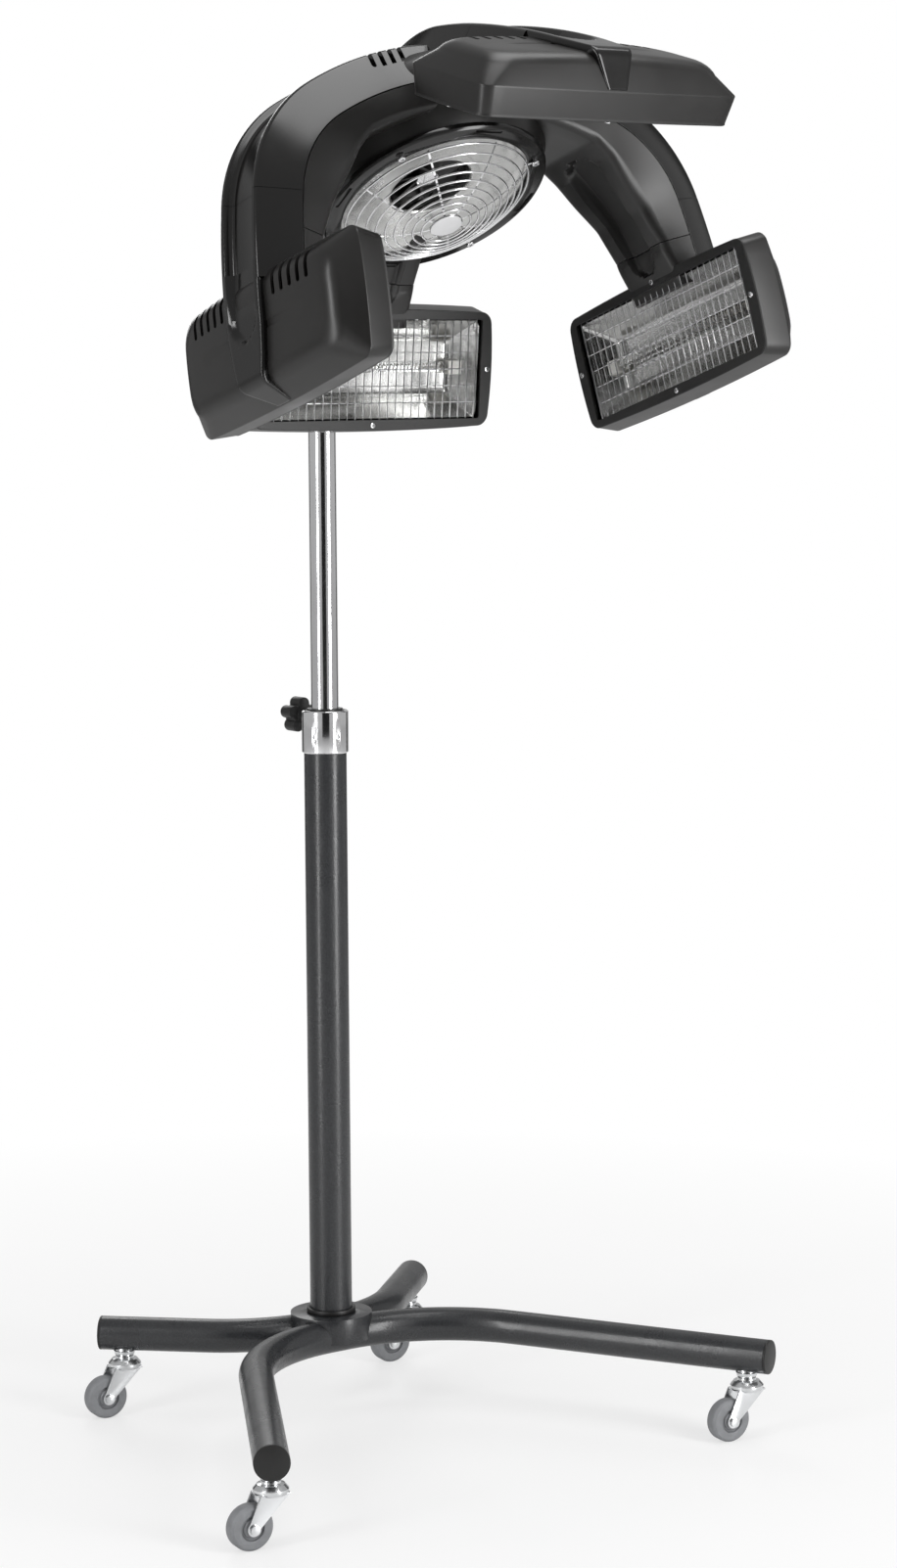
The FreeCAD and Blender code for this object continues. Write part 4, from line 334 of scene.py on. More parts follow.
def turned(profile, steps=96, place=Matrix.Identity(4), rounds=(), segments=3):
    """Solid turned about Z from closed (radius, height) corners, then placed."""
    bm = section(profile, rounds, segments)
    bmesh.ops.delete(bm, geom=bm.faces[:], context="FACES_ONLY")
    bmesh.ops.spin(bm, geom=bm.verts[:] + bm.edges[:], cent=(0, 0, 0), axis=(0, 0, 1), dvec=(0, 0, 0),
                   angle=2 * math.pi, steps=steps, use_merge=True, use_duplicate=False)
    bmesh.ops.remove_doubles(bm, verts=bm.verts, dist=2e-6)
    return moved(bm, place)


def box_bm(size, place=Matrix.Identity(4), round_by=0.0):
    bm = bmesh.new()
    bmesh.ops.create_cube(bm, size=1.0)
    bmesh.ops.scale(bm, vec=size, verts=bm.verts)
    if round_by:
        round_off(bm, bm.edges[:], round_by)
    return moved(bm, place)


def pointing(axis, spot):
    """Matrix that stands Z along an axis at a spot."""
    turn = Vector((0, 0, 1)).rotation_difference(axis.normalized()).to_matrix().to_4x4()
    turn.translation = spot
    return turn


def rod_bm(radius, start, end, sides=24, round_by=0.0):
    """Round bar between two points."""
    start, end = Vector(start), Vector(end)
    axis = end - start
    bm = bmesh.new()
    bmesh.ops.create_cone(bm, cap_ends=True, segments=sides, radius1=radius, radius2=radius, depth=axis.length)
    if round_by:
        rims = [e for e in bm.edges if abs(e.verts[0].co.z - e.verts[1].co.z) < 1e-7]
        round_off(bm, rims, round_by)
    return moved(bm, pointing(axis, (start + end) / 2))


def add(target, source):
    """Moves source's mesh into target."""
    mesh = bpy.data.meshes.new("joining")
    source.to_mesh(mesh)
    source.free()
    target.from_mesh(mesh)
    bpy.data.meshes.remove(mesh)
    return target


def joined(parts):
    whole = bmesh.new()
    for part in parts:
        add(whole, part)
    return whole


def soften(bm, sharp):
    """Smooth shading, with edges above the sharp angle kept crisp."""
    limit = math.radians(sharp)
    for face in bm.faces:
        face.smooth = True
    for edge in bm.edges:
        edge.smooth = len(edge.link_faces) == 2 and edge.calc_face_angle(0.0) < limit


def linked(name, data):
    """Object of the data, in the scene."""
    obj = bpy.data.objects.new(name, data)
    bpy.context.scene.collection.objects.link(obj)
    return obj


def mesh_object(name, bm):
    mesh = bpy.data.meshes.new(name)
    bm.to_mesh(mesh)
    bm.free()
    return linked(name, mesh)


def carve(bm, cutters):
    """Cuts the cutters out of a closed mesh."""
    pieces = []
    for source in (bm, joined(cutters)):
        pieces.append(mesh_object("carving", outward(source)))
    cut = pieces[0].modifiers.new("cut", "BOOLEAN")
    cut.operation, cut.solver, cut.object, cut.use_self = "DIFFERENCE", "EXACT", pieces[1], True
    bpy.context.view_layer.update()
    result = bmesh.new()
    result.from_object(pieces[0], bpy.context.evaluated_depsgraph_get())
    for piece in pieces:
        mesh = piece.data
        bpy.data.objects.remove(piece)
        bpy.data.meshes.remove(mesh)
    return result


NODE_SLOTS = {part["node"]: part["material_slot"] for part in frame["record"]["subparts"]}
MATERIALS = {}
SHARP = 32


def piece(name, bm, body, material, nodes=(), slot=None, sharp=SHARP, recalc=True):
    """Makes a finished object that rides on a body and may stand for CAD nodes."""
    bmesh.ops.remove_doubles(bm, verts=bm.verts, dist=1e-6)
    if recalc:
        outward(bm)
    soften(bm, sharp)
    obj = mesh_object(name, bm)
    obj.data.materials.append(MATERIALS[material])
    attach(obj, body)
    if nodes:
        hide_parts(*nodes)
    return obj


def dressed(node, material, round_by=0.0, segments=2):
    """Smoothed copy of a CAD node, with its edges rounded, that stands for it."""
    source = frame["nodes"][node]
    bm = bmesh.new()
    bm.from_mesh(source.data)
    bmesh.ops.remove_doubles(bm, verts=bm.verts, dist=2e-6)
    bmesh.ops.dissolve_limit(bm, angle_limit=math.radians(0.5), verts=bm.verts, edges=bm.edges)
    if round_by:
        limit = math.radians(SHARP)
        rims = [e for e in bm.edges if len(e.link_faces) == 2 and e.calc_face_angle(0.0) > limit]
        round_off(bm, rims, round_by, segments, clamp=True)
    piece(node + "_finish", bm, source["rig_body"], material, (node,), recalc=False)


def dress_all(context, rows):
    """Dresses CAD nodes, each row (node, material, its rounding over the edge rounding, steps)."""
    edge = context.scene.processor_sizes.edge_round
    for name, material, share, *segments in rows:
        dressed(name, material, edge * share, *segments)
    return {"FINISHED"}


# ------------------------------------------------------------------ materials
def shader(name, colour, rough, metal=0.0, **sockets):
    """Material with its plain values on the shader's own sockets."""
    material = bpy.data.materials.new(name)
    material.use_nodes = True
    surface = material.node_tree.nodes["Principled BSDF"]
    surface.inputs["Base Color"].default_value = (*colour[:3], 1.0)
    surface.inputs["Roughness"].default_value = rough
    surface.inputs["Metallic"].default_value = metal
    for socket, value in sockets.items():
        surface.inputs[socket.replace("_", " ")].default_value = value
    return material, surface


def node(owner, kind, **values):
    made = owner.node_tree.nodes.new(kind)
    for key, value in values.items():
        if key in made.inputs:
            made.inputs[key].default_value = value
        else:
            setattr(made, key, value)
    return made


def link(owner, source, output, target, socket):
    owner.node_tree.links.new(source.outputs[output], target.inputs[socket])


class Finish:
    """Material whose textures are laid in object coordinates."""

    def __init__(self, name, colour, rough, metal=0.0, scale=(1, 1, 1), **sockets):
        self.material, self.surface = shader(name, colour, rough, metal, **sockets)
        self.colour = colour
        coords = node(self.material, "ShaderNodeTexCoord")
        self.mapping = node(self.material, "ShaderNodeMapping", Scale=scale)
        link(self.material, coords, "Object", self.mapping, "Vector")

    def texture(self, kind, **values):
        made = node(self.material, kind, **values)
        link(self.material, self.mapping, "Vector", made, "Vector")
        return made

    def grain(self, scale, detail=3.0):
        return self.texture("ShaderNodeTexNoise", Scale=scale, Detail=detail, Roughness=0.55)

    def spread(self, source, output, *limits):
        """Spreads a socket's values between two limits over the next two."""
        made = node(self.material, "ShaderNodeMapRange")
        for socket, value in zip(("From Min", "From Max", "To Min", "To Max"), limits):
            made.inputs[socket].default_value = value
        link(self.material, source, output, made, "Value")
        return made

    def gloss(self, noise, low, high):
        """Roughness that follows a noise's middle values."""
        made = self.spread(noise, "Fac", 0.35, 0.65, low, high)
        link(self.material, made, "Result", self.surface, "Roughness")

    def tint(self, source, output, spread):
        """Colour that wanders between two close shades."""
        ramp = node(self.material, "ShaderNodeValToRGB")
        for element, position, share in zip(ramp.color_ramp.elements, (0.3, 0.7), (1 - spread, 1 + spread)):
            element.position = position
            element.color = (*(channel * share for channel in self.colour[:3]), 1.0)
        link(self.material, source, output, ramp, "Fac")
        link(self.material, ramp, "Color", self.surface, "Base Color")

    def bump(self, source, output, strength, distance):
        made = node(self.material, "ShaderNodeBump", Strength=strength, Distance=distance)
        link(self.material, source, output, made, "Height")
        link(self.material, made, "Normal", self.surface, "Normal")
        return made


def hammered_paint(name, colour):
    """Dark metal paint with the small round hollows of a hammer finish."""
    paint = Finish(name, colour, 0.3, Coat_Weight=0.2, Coat_Roughness=0.15)
    cells = paint.texture("ShaderNodeTexVoronoi", feature="SMOOTH_F1", Scale=520.0, Smoothness=0.6)
    haze = paint.grain(26.0)
    paint.tint(cells, "Distance", 0.2)
    paint.gloss(haze, 0.25, 0.36)
    paint.bump(cells, "Distance", 0.3, 0.0004)
    return paint.material


def satin_plastic(name, colour, rough=0.34, texture=0.06, scale=900.0):
    """Moulded plastic with a fine spark-eroded grain and faint handling marks."""
    plastic = Finish(name, colour, rough, Specular_IOR_Level=0.5)
    fine = plastic.grain(scale, 2.0)
    broad = plastic.grain(9.0, 4.0)
    plastic.tint(broad, "Fac", 0.10)
    plastic.gloss(broad, rough - 0.04, rough + 0.05)
    plastic.bump(fine, "Fac", texture, 0.0002)
    return plastic.material


def bright_plate(name, colour, rough=0.11, drawn=0.0):
    """Chrome or nickel plate with faint wiping marks."""
    plate = Finish(name, colour, rough, 1.0, (1, 1, 0.06 if drawn else 1))
    marks = plate.grain(70.0 + 400.0 * drawn, 4.0)
    plate.gloss(marks, rough * 0.9, rough * 1.2)
    plate.tint(marks, "Fac", 0.03)
    return plate.material


def dimpled_reflector(name, colour, pitch, depth, rough, wave):
    """Polished aluminium sheet with shallow pressed dimples and soft waves that break up the light."""
    sheet = Finish(name, colour, rough, 1.0)
    cells = sheet.texture("ShaderNodeTexVoronoi", Scale=1.0 / pitch, Randomness=0.25)
    haze = sheet.grain(14.0)
    sheet.gloss(haze, rough * 0.7, rough * 1.6)
    sheet.tint(haze, "Fac", 0.06)
    waves = sheet.bump(haze, "Fac", 0.4, wave)
    dimples = sheet.bump(cells, "Distance", 0.5, depth)
    link(sheet.material, waves, "Normal", dimples, "Normal")
    return sheet.material


def tread_rubber(name, colour):
    """Grey non-marking rubber, duller and dustier where it rolls."""
    rubber = Finish(name, colour, 0.62)
    dust = rubber.grain(60.0, 6.0)
    fine = rubber.grain(700.0)
    rubber.tint(dust, "Fac", 0.14)
    rubber.gloss(dust, 0.52, 0.72)
    rubber.bump(fine, "Fac", 0.25, 0.0003)
    return rubber.material


def clear_quartz(name):
    """Clear quartz glass with slight drawing lines."""
    quartz = Finish(name, (0.93, 0.94, 0.94), 0.03, Transmission_Weight=1.0, IOR=1.46)
    lines = quartz.grain(120.0, 2.0)
    quartz.bump(lines, "Fac", 0.05, 0.0002)
    quartz.gloss(lines, 0.02, 0.06)
    return quartz.material


def fired_ceramic(name, colour):
    ceramic = Finish(name, colour, 0.55)
    specks = ceramic.grain(420.0, 4.0)
    ceramic.tint(specks, "Fac", 0.07)
    ceramic.bump(specks, "Fac", 0.15, 0.0002)
    return ceramic.material


def circuit_laminate(name, colour):
    """Green laminate with paler copper tracks."""
    board = Finish(name, colour, 0.35, scale=(260, 260, 260))
    tracks = board.texture("ShaderNodeTexWave", Scale=0.5, Distortion=6.0, Detail=2.0)
    board.tint(tracks, "Fac", 0.3)
    board.bump(tracks, "Fac", 0.2, 0.0001)
    return board.material


def make_materials(colours):
    MATERIALS.update(
        paint=hammered_paint("hammered graphite paint", colours.paint),
        shell=satin_plastic("satin charcoal plastic", colours.shell),
        arm=satin_plastic("glossy black arm plastic", colours.arm, 0.17, 0.02),
        trim=satin_plastic("black moulded trim", colours.trim, 0.45, 0.2, 600.0),
        bezel=satin_plastic("heat-proof black plastic", colours.bezel, 0.42, 0.15, 700.0),
        chrome=bright_plate("bright chrome", colours.chrome),
        tube=bright_plate("drawn chrome tube", colours.chrome, 0.11, 1.0),
        zinc=bright_plate("zinc plated steel", colours.zinc, 0.2),
        dish=dimpled_reflector("polished fan dish", colours.dish, 0.045, 0.00001, 0.2, 0.0),
        reflector=dimpled_reflector("dimpled lamp reflector", colours.reflector, 0.009, 0.0001, 0.16, 0.0004),
        rubber=tread_rubber("grey wheel rubber", colours.rubber),
        quartz=clear_quartz("clear quartz"),
        filament=bright_plate("tungsten coil", (0.35, 0.33, 0.31), 0.4),
        ceramic=fired_ceramic("white fired ceramic", (0.72, 0.71, 0.68)),
        board=circuit_laminate("circuit laminate", (0.03, 0.12, 0.06)),
        motor=satin_plastic("dark motor paint", (0.045, 0.045, 0.047), 0.4, 0.2),
    )


# ------------------------------------------------------------------- settings
def length_property(name, description, default):
    return FloatProperty(name=name, description=description, default=default, unit="LENGTH")


class ProcessorSizes(PropertyGroup):
    ridge_round: length_property("Ridge rounding", "Rounding of the arms' outer ridges", 0.0034)
    edge_round: length_property("Edge rounding", "Rounding of small trim edges", 0.0006)
    grille_wire: length_property("Grille wire", "Diameter of the lamps' grille wires", 0.0016)
    guard_wire: length_property("Guard wire", "Diameter of the fan guard's wires", 0.0024)
    filament_turns: IntProperty(name="Filament turns", description="Turns of the coil in each quartz tube",
                                default=46)


def colour_property(name, description, default):
    return FloatVectorProperty(name=name, description=description, subtype="COLOR", size=3,
                               min=0.0, max=1.0, default=default)


class ProcessorColours(PropertyGroup):
    paint: colour_property("Paint", "Hammered paint of the base and column", (0.022, 0.023, 0.025))
    shell: colour_property("Shell", "Plastic of the lamp backs", (0.0100, 0.0094, 0.0090))
    arm: colour_property("Arms", "Plastic of the head and arms", (0.0046, 0.0043, 0.0041))
    trim: colour_property("Trim", "Plastic of the caps, knob and controls", (0.008, 0.0078, 0.0076))
    bezel: colour_property("Bezel", "Plastic round the lamps' windows", (0.007, 0.0068, 0.0066))
    chrome: colour_property("Chrome", "Plate of the tube, collar and wires", (0.86, 0.86, 0.87))
    zinc: colour_property("Zinc", "Plate of the caster forks", (0.74, 0.75, 0.76))
    dish: colour_property("Dish", "Polished metal round the fan", (0.62, 0.62, 0.61))
    reflector: colour_property("Reflectors", "Bright metal behind the lamps", (0.62, 0.62, 0.61))
    rubber: colour_property("Rubber", "Tread of the wheels", (0.21, 0.215, 0.225))


# ------------------------------------------------------------- head and arms
OUTER_PROFILE = [
    (0.0, -ARM_HALF), (0.0, -CHANNEL_HALF),
    (-CHANNEL_DEPTH, -CHANNEL_FLOOR), (-CHANNEL_DEPTH, CHANNEL_FLOOR),
    (0.0, CHANNEL_HALF), (0.0, ARM_HALF),
    (-ARM_PART + PART_LINE, ARM_FLARE), (-ARM_PART + PART_LINE, -ARM_FLARE)]
COVER_PROFILE = [
    (-ARM_PART - PART_LINE, -ARM_FLARE), (-ARM_PART - PART_LINE, ARM_FLARE),
    (-ARM_DEPTH, ARM_SOLE), (-ARM_DEPTH, -ARM_SOLE)]
COVER_ROUNDS = [0.0008, 0.0008, 0.007, 0.007]


def outer_rounds(ridge):
    inner = ridge * 0.8
    return [ridge, inner, 0.005, 0.005, inner, ridge, 0.0008, 0.0008]


def ease(value):
    """Smooth step from 0 to 1."""
    value = min(max(value, 0.0), 1.0)
    return value * value * (3 - 2 * value)


def slice_widths(bm, half, count):
    """Cuts a bar lengthwise at even widths, so that its face can be shaped."""
    for index in range(-count, count + 1):
        bmesh.ops.bisect_plane(bm, geom=bm.verts[:] + bm.edges[:] + bm.faces[:], dist=1e-7,
                               plane_co=(0, 0, half * index / count), plane_no=(0, 0, 1))


def round_end(half, into_end):
    """Half width of a hollow with a round end, so far into that end."""
    return math.sqrt(max(half ** 2 - max(into_end, 0.0) ** 2, 0.0))


def deepen(vert, swell, flare):
    """Moves a point of a cover's inner face inwards, and widens it there."""
    share = (-vert.co.x - ARM_PART) / (ARM_DEPTH - ARM_PART)
    if share > 0.1:
        vert.co.x -= share * swell
        vert.co.z *= 1 + (ARM_FLARE / ARM_SOLE - 1) * share * flare


def deepen_root(bm, reach):
    """Lets the inner face of an arm run almost straight from the seam to the fan."""
    for vert in bm.verts:
        left = reach - vert.co.y
        bow = (WAIST_SWELL - SEAM_SWELL) * (left / WAIST - 1) ** 2
        deepen(vert, max(ROOT_SWELL, WAIST_SWELL - bow), ease(left / (2 * WAIST)))


def sink_trough(bm, start, finish):
    """Presses the long trough into an arm's inner face."""
    for vert in bm.verts:
        out, station, width = vert.co
        if out > -ARM_DEPTH + 0.0005 or not start < station:
            continue
        half = round_end(TROUGH_HALF, TROUGH_HALF + max(start - station, station - finish))
        vert.co.x += TROUGH_DEPTH * ease((half - abs(width)) / TROUGH_DEPTH)


def arm_bar(start, run, profile, rounds, swollen=False, trough=None, step=0.006):
    """One half arm from its crown, open at the crown end, wrapped in its plane."""
    path = Path(start, 0, run)
    bm = bar(profile, rounds, path.length, int(path.length / step))
    drop_cap(bm)
    if trough:
        slice_widths(bm, TROUGH_HALF, 14)
        sink_trough(bm, *trough)
    if swollen:
        deepen_root(bm, path.length - SEAM_GAP)
    wrap(bm, path)
    return bm


def hoop_bm(profile, rounds, tail, swollen=False, trough=None):
    bm = arm_bar(SIDE_CROWN, SIDE_RUN + tail, profile, rounds, swollen, trough)
    bmesh.ops.mirror(bm, geom=bm.verts[:] + bm.edges[:] + bm.faces[:], matrix=Matrix.Identity(4),
                     merge_dist=1e-6, axis="X")
    return moved(bm, SIDE_PLANE)


def spine_bm(profile, rounds, tail, swollen=False, trough=None):
    halves = []
    for start, run, base, dent in ((FRONT_CROWN, FRONT_RUN, FRONT_PLANE, None),
                                   (REAR_CROWN, REAR_RUN, REAR_PLANE, trough)):
        half = moved(arm_bar(start, run + tail, profile, rounds, swollen and base is REAR_PLANE, dent), base)
        halves.append(outward(half))
    bm = joined(halves)
    bmesh.ops.remove_doubles(bm, verts=bm.verts, dist=1e-5)
    return bm


def slot_cutter(width, length, depth, place):
    """Round-ended slot, cut along local Z."""
    parts = [box_bm((width, length - width, depth), place)]
    for side in (-1, 1):
        along = side * (length - width) / 2
        parts.append(rod_bm(width / 2, place @ Vector((0, along, -depth / 2)),
                            place @ Vector((0, along, depth / 2)), 16))
    return joined(parts)


class PROCESSOR_OT_head(Operator):
    """Adds the arched head: the hoop over both sides, the spine and the fan's dome"""
    bl_idname = "processor.head"
    bl_label = "Head"

    def execute(self, context):
        rounds = outer_rounds(context.scene.processor_sizes.ridge_round)
        vents = []
        for index in range(VENTS):
            for way in (-1, 1):
                spot = Vector((way * (VENT_FIRST + VENT_PITCH * index), HOOP_TOP - VENT_REACH, ARM_HALF))
                vents.append(slot_cutter(VENT_WIDTH, 2.4 * VENT_REACH, VENT_REACH, Matrix.Translation(spot)))
        hoop = carve(hoop_bm(OUTER_PROFILE, rounds, []), [moved(joined(vents), SIDE_PLANE)])
        piece("hoop_shell", hoop, "head", "arm", ("head_outer_shell",))
        piece("spine_shell", spine_bm(OUTER_PROFILE, rounds, []), "head", "arm")
        cover = hoop_bm(COVER_PROFILE, COVER_ROUNDS, COVER_TAIL, True, (HOOP_TROUGH, 1.0))
        piece("hoop_cover", cover, "head", "shell", ("head_inner_shell",))
        cover = spine_bm(COVER_PROFILE, COVER_ROUNDS, COVER_TAIL, True, (SPINE_TROUGH, 1.0))
        piece("spine_cover", cover, "head", "shell")
        dome = turned([(0.0, 0.1185), (0.060, 0.118), (0.120, 0.106), (0.158, 0.080), (0.158, 0.055),
                       (0.138, 0.018), (0.1262, 0.0), (0.108, 0.0), (0.108, 0.02), (0.108, 0.09), (0.0, 0.09)],
                      128, FAN, [0, 0.02, 0.018, 0.010, 0.010, 0.014, 0.001, 0, 0, 0, 0], 5)
        piece("fan_dome", dome, "head", "shell")
        side = Vector((LUG_HALF, 0, 0))
        lug = joined([
            box_bm((2 * LUG_HALF, 0.084, 0.030), Matrix.Translation(PIVOT - Vector((0, 0.042, 0))), 0.0015),
            rod_bm(0.015, PIVOT - side, PIVOT + side, 48, 0.0012)])
        piece("tilt_lug", lug, "head", "arm")
        return {"FINISHED"}


def recess(station, width, finish):
    """Depth of the channel at a station along the strap, 0 past its round end."""
    depth = CHANNEL_DEPTH + (RECESS_SHALLOW - CHANNEL_DEPTH) * min(station / finish * 1.6, 1.0)
    half = round_end(CHANNEL_HALF, station - finish + CHANNEL_HALF)
    return depth * ease((half - abs(width)) / RECESS_EDGE)


def strap_bm(ridge):
    """The arm's outer strap over a lamp: two ridges whose channel ends round, then a tapered tongue."""
    bite = TONGUE_BEND_R * math.tan(math.radians(TONGUE_TURN / 2))
    facet = (RIDGE_OVER_LAMP - SKIRT_DEPTH - 0.002) / math.sin(math.radians(TONGUE_TURN))
    turn = math.degrees(math.asin(STRAP_START / END_ARC_R))
    start = Vector((RIDGE_OVER_LAMP - END_ARC_R * (1 - math.cos(math.radians(turn))), STRAP_START, 0))
    path = Path(start, -90 + turn, [(END_ARC_R, -turn), (TONGUE_CORNER - bite, 0),
                                    (TONGUE_BEND_R, -TONGUE_TURN), (facet - bite, 0)])
    profile = [(0.0, -ARM_HALF), (0.0, -CHANNEL_HALF), (0.0, CHANNEL_HALF), (0.0, ARM_HALF),
               (-TONGUE_THICK, ARM_HALF), (-TONGUE_THICK, -ARM_HALF)]
    bm = bar(profile, [ridge, 0, 0, ridge, 0.0008, 0.0008], path.length, int(path.length / STRAP_STEP))
    slice_widths(bm, CHANNEL_HALF, 9)
    over = path.legs[0][1]
    taper = [(0.0, 1.0)] + [(over + past, share) for past, share in TONGUE_TAPER] + [(path.length, TONGUE_TIP)]
    for vert in bm.verts:
        out, station, width = vert.co
        if out > -0.0001 and abs(width) < CHANNEL_HALF + 0.0005:
            vert.co.x -= recess(station, width, over + RECESS_PAST)
        for (low, wide), (high, narrow) in zip(taper, taper[1:]):
            if low <= station <= high + 1e-9:
                vert.co.z *= wide + (narrow - wide) * (station - low) / (high - low)
                break
    end = [f for f in bm.faces if all(v.co.y > path.length - 1e-6 for v in f.verts)]
    rim = {e for f in end for e in f.edges if any(g not in end for g in e.link_faces)}
    round_off(bm, list(rim), 0.0015)
    wrap(bm, path)
    return bm


def block_bm(ridge):
    """The hinged block between the seam and the lamp."""
    start = Vector((SEAM_OUT, SEAM_RISE, 0))
    length = END_ARC_R * (math.radians(END_SWEEP) - math.asin(BLOCK_FOOT / END_ARC_R))
    path = Path(start, -90 + END_SWEEP, [(END_ARC_R, -math.degrees(length / END_ARC_R))])
    outer = bar(OUTER_PROFILE, outer_rounds(ridge), length - SEAM_GAP, 14)
    bmesh.ops.translate(outer, verts=outer.verts, vec=(0, SEAM_GAP, 0))
    wrap(outer, path)
    inner_length = length - SEAM_STEP - 2 * SEAM_GAP
    inner = bar(COVER_PROFILE, COVER_ROUNDS, inner_length, 16)
    slice_widths(inner, TROUGH_HALF, 14)
    sink_trough(inner, -1.0, inner_length - TROUGH_FOOT)
    for vert in inner.verts:
        deepen(vert, SEAM_SWELL * ease(1 - vert.co.y / inner_length), 0.0)
    bmesh.ops.translate(inner, verts=inner.verts, vec=(0, SEAM_STEP + 2 * SEAM_GAP, 0))
    wrap(inner, path)
    return [outer, inner]


def on_lamp(name, bm, side, material, nodes=(), **more):
    """Finished piece, drawn in a lamp's plane, that rides on the lamp."""
    return piece(name, moved(bm, LAMP_PLANES[side]), "lamp_" + side, material, nodes, **more)


class PROCESSOR_OT_arm_ends(Operator):
    """Adds the hinged ends of the four arms, with the tongues that wrap the lamps"""
    bl_idname = "processor.arm_ends"
    bl_label = "Arm ends"

    def execute(self, context):
        ridge = context.scene.processor_sizes.ridge_round
        for side in SIDES:
            end = "arm_end_" + side
            outer, inner = block_bm(ridge)
            on_lamp(end + "_shell", joined([outer, strap_bm(ridge)]), side, "arm", (end,))
            on_lamp(end + "_cover", inner, side, "shell", slot=NODE_SLOTS[end])
        return {"FINISHED"}


# ----------------------------------------------------------------------- lamps
def rim_points(half, tall, corner, bow):
    """Points round a bowed rectangle with round corners, each (rise, along)."""
    turns = [(corner * math.cos(angle), corner * math.sin(angle))
             for angle in (math.pi / 2 * step / TURN_STEPS for step in range(TURN_STEPS))]
    points = [(tall, (half - corner) * (1 - 2 * step / LONG_STEPS)) for step in range(LONG_STEPS)]
    points += [(tall - corner + near, corner - half - far) for near, far in turns]
    points += [((tall - corner) * (1 - 2 * step / SHORT_STEPS), -half) for step in range(SHORT_STEPS)]
    points += [(corner - tall - far, corner - half - near) for near, far in turns]
    points += [(-rise, -along) for rise, along in points]
    return [(rise * (1 + bow / tall * (1 - (along / half) ** 2)),
             along * (1 + bow / half * (1 - (rise / tall) ** 2))) for rise, along in points]


def ringed(rings):
    """Tube of rings in a lamp's plane, each ring (level, half, tall, corner, bow, drop at the ends)."""
    count = 2 * (LONG_STEPS + SHORT_STEPS + 2 * TURN_STEPS)
    bm = bmesh.new()
    bmesh.ops.create_circle(bm, segments=count, radius=1.0)
    rim = bm.edges[:]
    for index in range(1, len(rings)):
        grown = bmesh.ops.extrude_edge_only(bm, edges=rim)
        rim = [item for item in grown["geom"] if isinstance(item, bmesh.types.BMEdge)]
        bmesh.ops.translate(bm, verts=grown_verts(grown), vec=(0, 0, 1))
    outlines = [rim_points(*ring[1:5]) for ring in rings]
    for vert in bm.verts:
        number = round(vert.co.z)
        spoke = round(math.atan2(vert.co.y, vert.co.x) / math.tau * count) % count
        rise, along = outlines[number][spoke]
        level, drop = rings[number][0], rings[number][5]
        vert.co = (level - drop * (along / LAMP_HALF) ** 2, rise, along)
    return bm


def housing_bm():
    """Back of a lamp: skirt, soft hipped sides and a bowed crown, with louvres at both ends."""
    drop = LAMP_HALF ** 2 / (2 * CROWN_BOW_R)
    flared, flared_tall = LAMP_HALF + LAMP_FLARE, LAMP_TALL + LAMP_FLARE
    rings = [(BEZEL_LEVEL, LAMP_HALF, LAMP_TALL, LAMP_CORNER, LAMP_BOW, 0.0)]
    for level, draw in ((SKIRT_DEPTH - 0.001, 0.0001), (SKIRT_DEPTH, 0.0001), (SKIRT_DEPTH + 0.001, 0.0006)):
        rings.append((level, flared - draw, flared_tall - draw, LAMP_CORNER, LAMP_BOW, 0.0))
    lean = math.atan2(flared_tall - CROWN_TALL, CROWN_DEPTH - SKIRT_DEPTH)
    turn = math.pi / 2 - lean
    reach = CROWN_ROUND * math.tan(turn / 2)
    for step in range(CROWN_STEPS + 1):
        angle = lean + turn * step / CROWN_STEPS
        inset = reach - CROWN_ROUND * math.cos(angle)
        level = CROWN_DEPTH - CROWN_ROUND * (1 - math.sin(angle))
        rings.append((level, CROWN_HALF - inset, CROWN_TALL - inset, CROWN_CORNER, LAMP_BOW, drop))
    for step in range(1, CROWN_STEPS):
        inset = reach + (CROWN_TALL - reach - 0.004) * step / (CROWN_STEPS - 1)
        tall = CROWN_TALL - inset
        corner = min(CROWN_CORNER, tall * 0.8)
        rings.append((CROWN_DEPTH, CROWN_HALF - inset, tall, corner, LAMP_BOW * tall, drop))
    inner = []
    for level, half, tall, corner, bow, fall in reversed(rings):
        level -= (level - BEZEL_LEVEL) * HOUSING_WALL / (CROWN_DEPTH - BEZEL_LEVEL)
        tall *= 1 - HOUSING_WALL / LAMP_TALL
        inner.append((level, half - HOUSING_WALL, tall, corner * 0.8, bow, fall))
    bm = ringed(inner + rings)
    rim = [edge for edge in bm.edges if edge.is_boundary]
    top = max(edge.verts[0].co.x for edge in rim)
    for way in (True, False):
        loop = [edge for edge in rim if (edge.verts[0].co.x > top - drop - HOUSING_WALL / 2) == way]
        bmesh.ops.contextual_create(bm, geom=loop)
    bmesh.ops.recalc_face_normals(bm, faces=bm.faces)
    foot = Vector((HIP_DEPTH - LOUVRE_DOWN, HIP_TALL - LOUVRE_IN, 0))
    cutters = []
    for index in range(LOUVRES):
        for way in (-1, 1):
            slot = box_bm((LOUVRE_REACH, LOUVRE_REACH, LOUVRE_WIDTH))
            ends = []
            for edge in slot.edges:
                low, high = (vert.co for vert in edge.verts)
                if abs(low.z - high.z) < 1e-6 and min(low.x + high.x, low.y + high.y) < -0.001:
                    ends.append(edge)
            round_off(slot, ends, LOUVRE_WIDTH * 0.48, 5, clamp=True)
            along = way * (LOUVRE_FIRST + LOUVRE_PITCH * index)
            middle = foot + Vector((LOUVRE_REACH / 2, LOUVRE_REACH / 2, along))
            cutters.append(moved(slot, Matrix.Translation(middle)))
    return carve(bm, cutters)


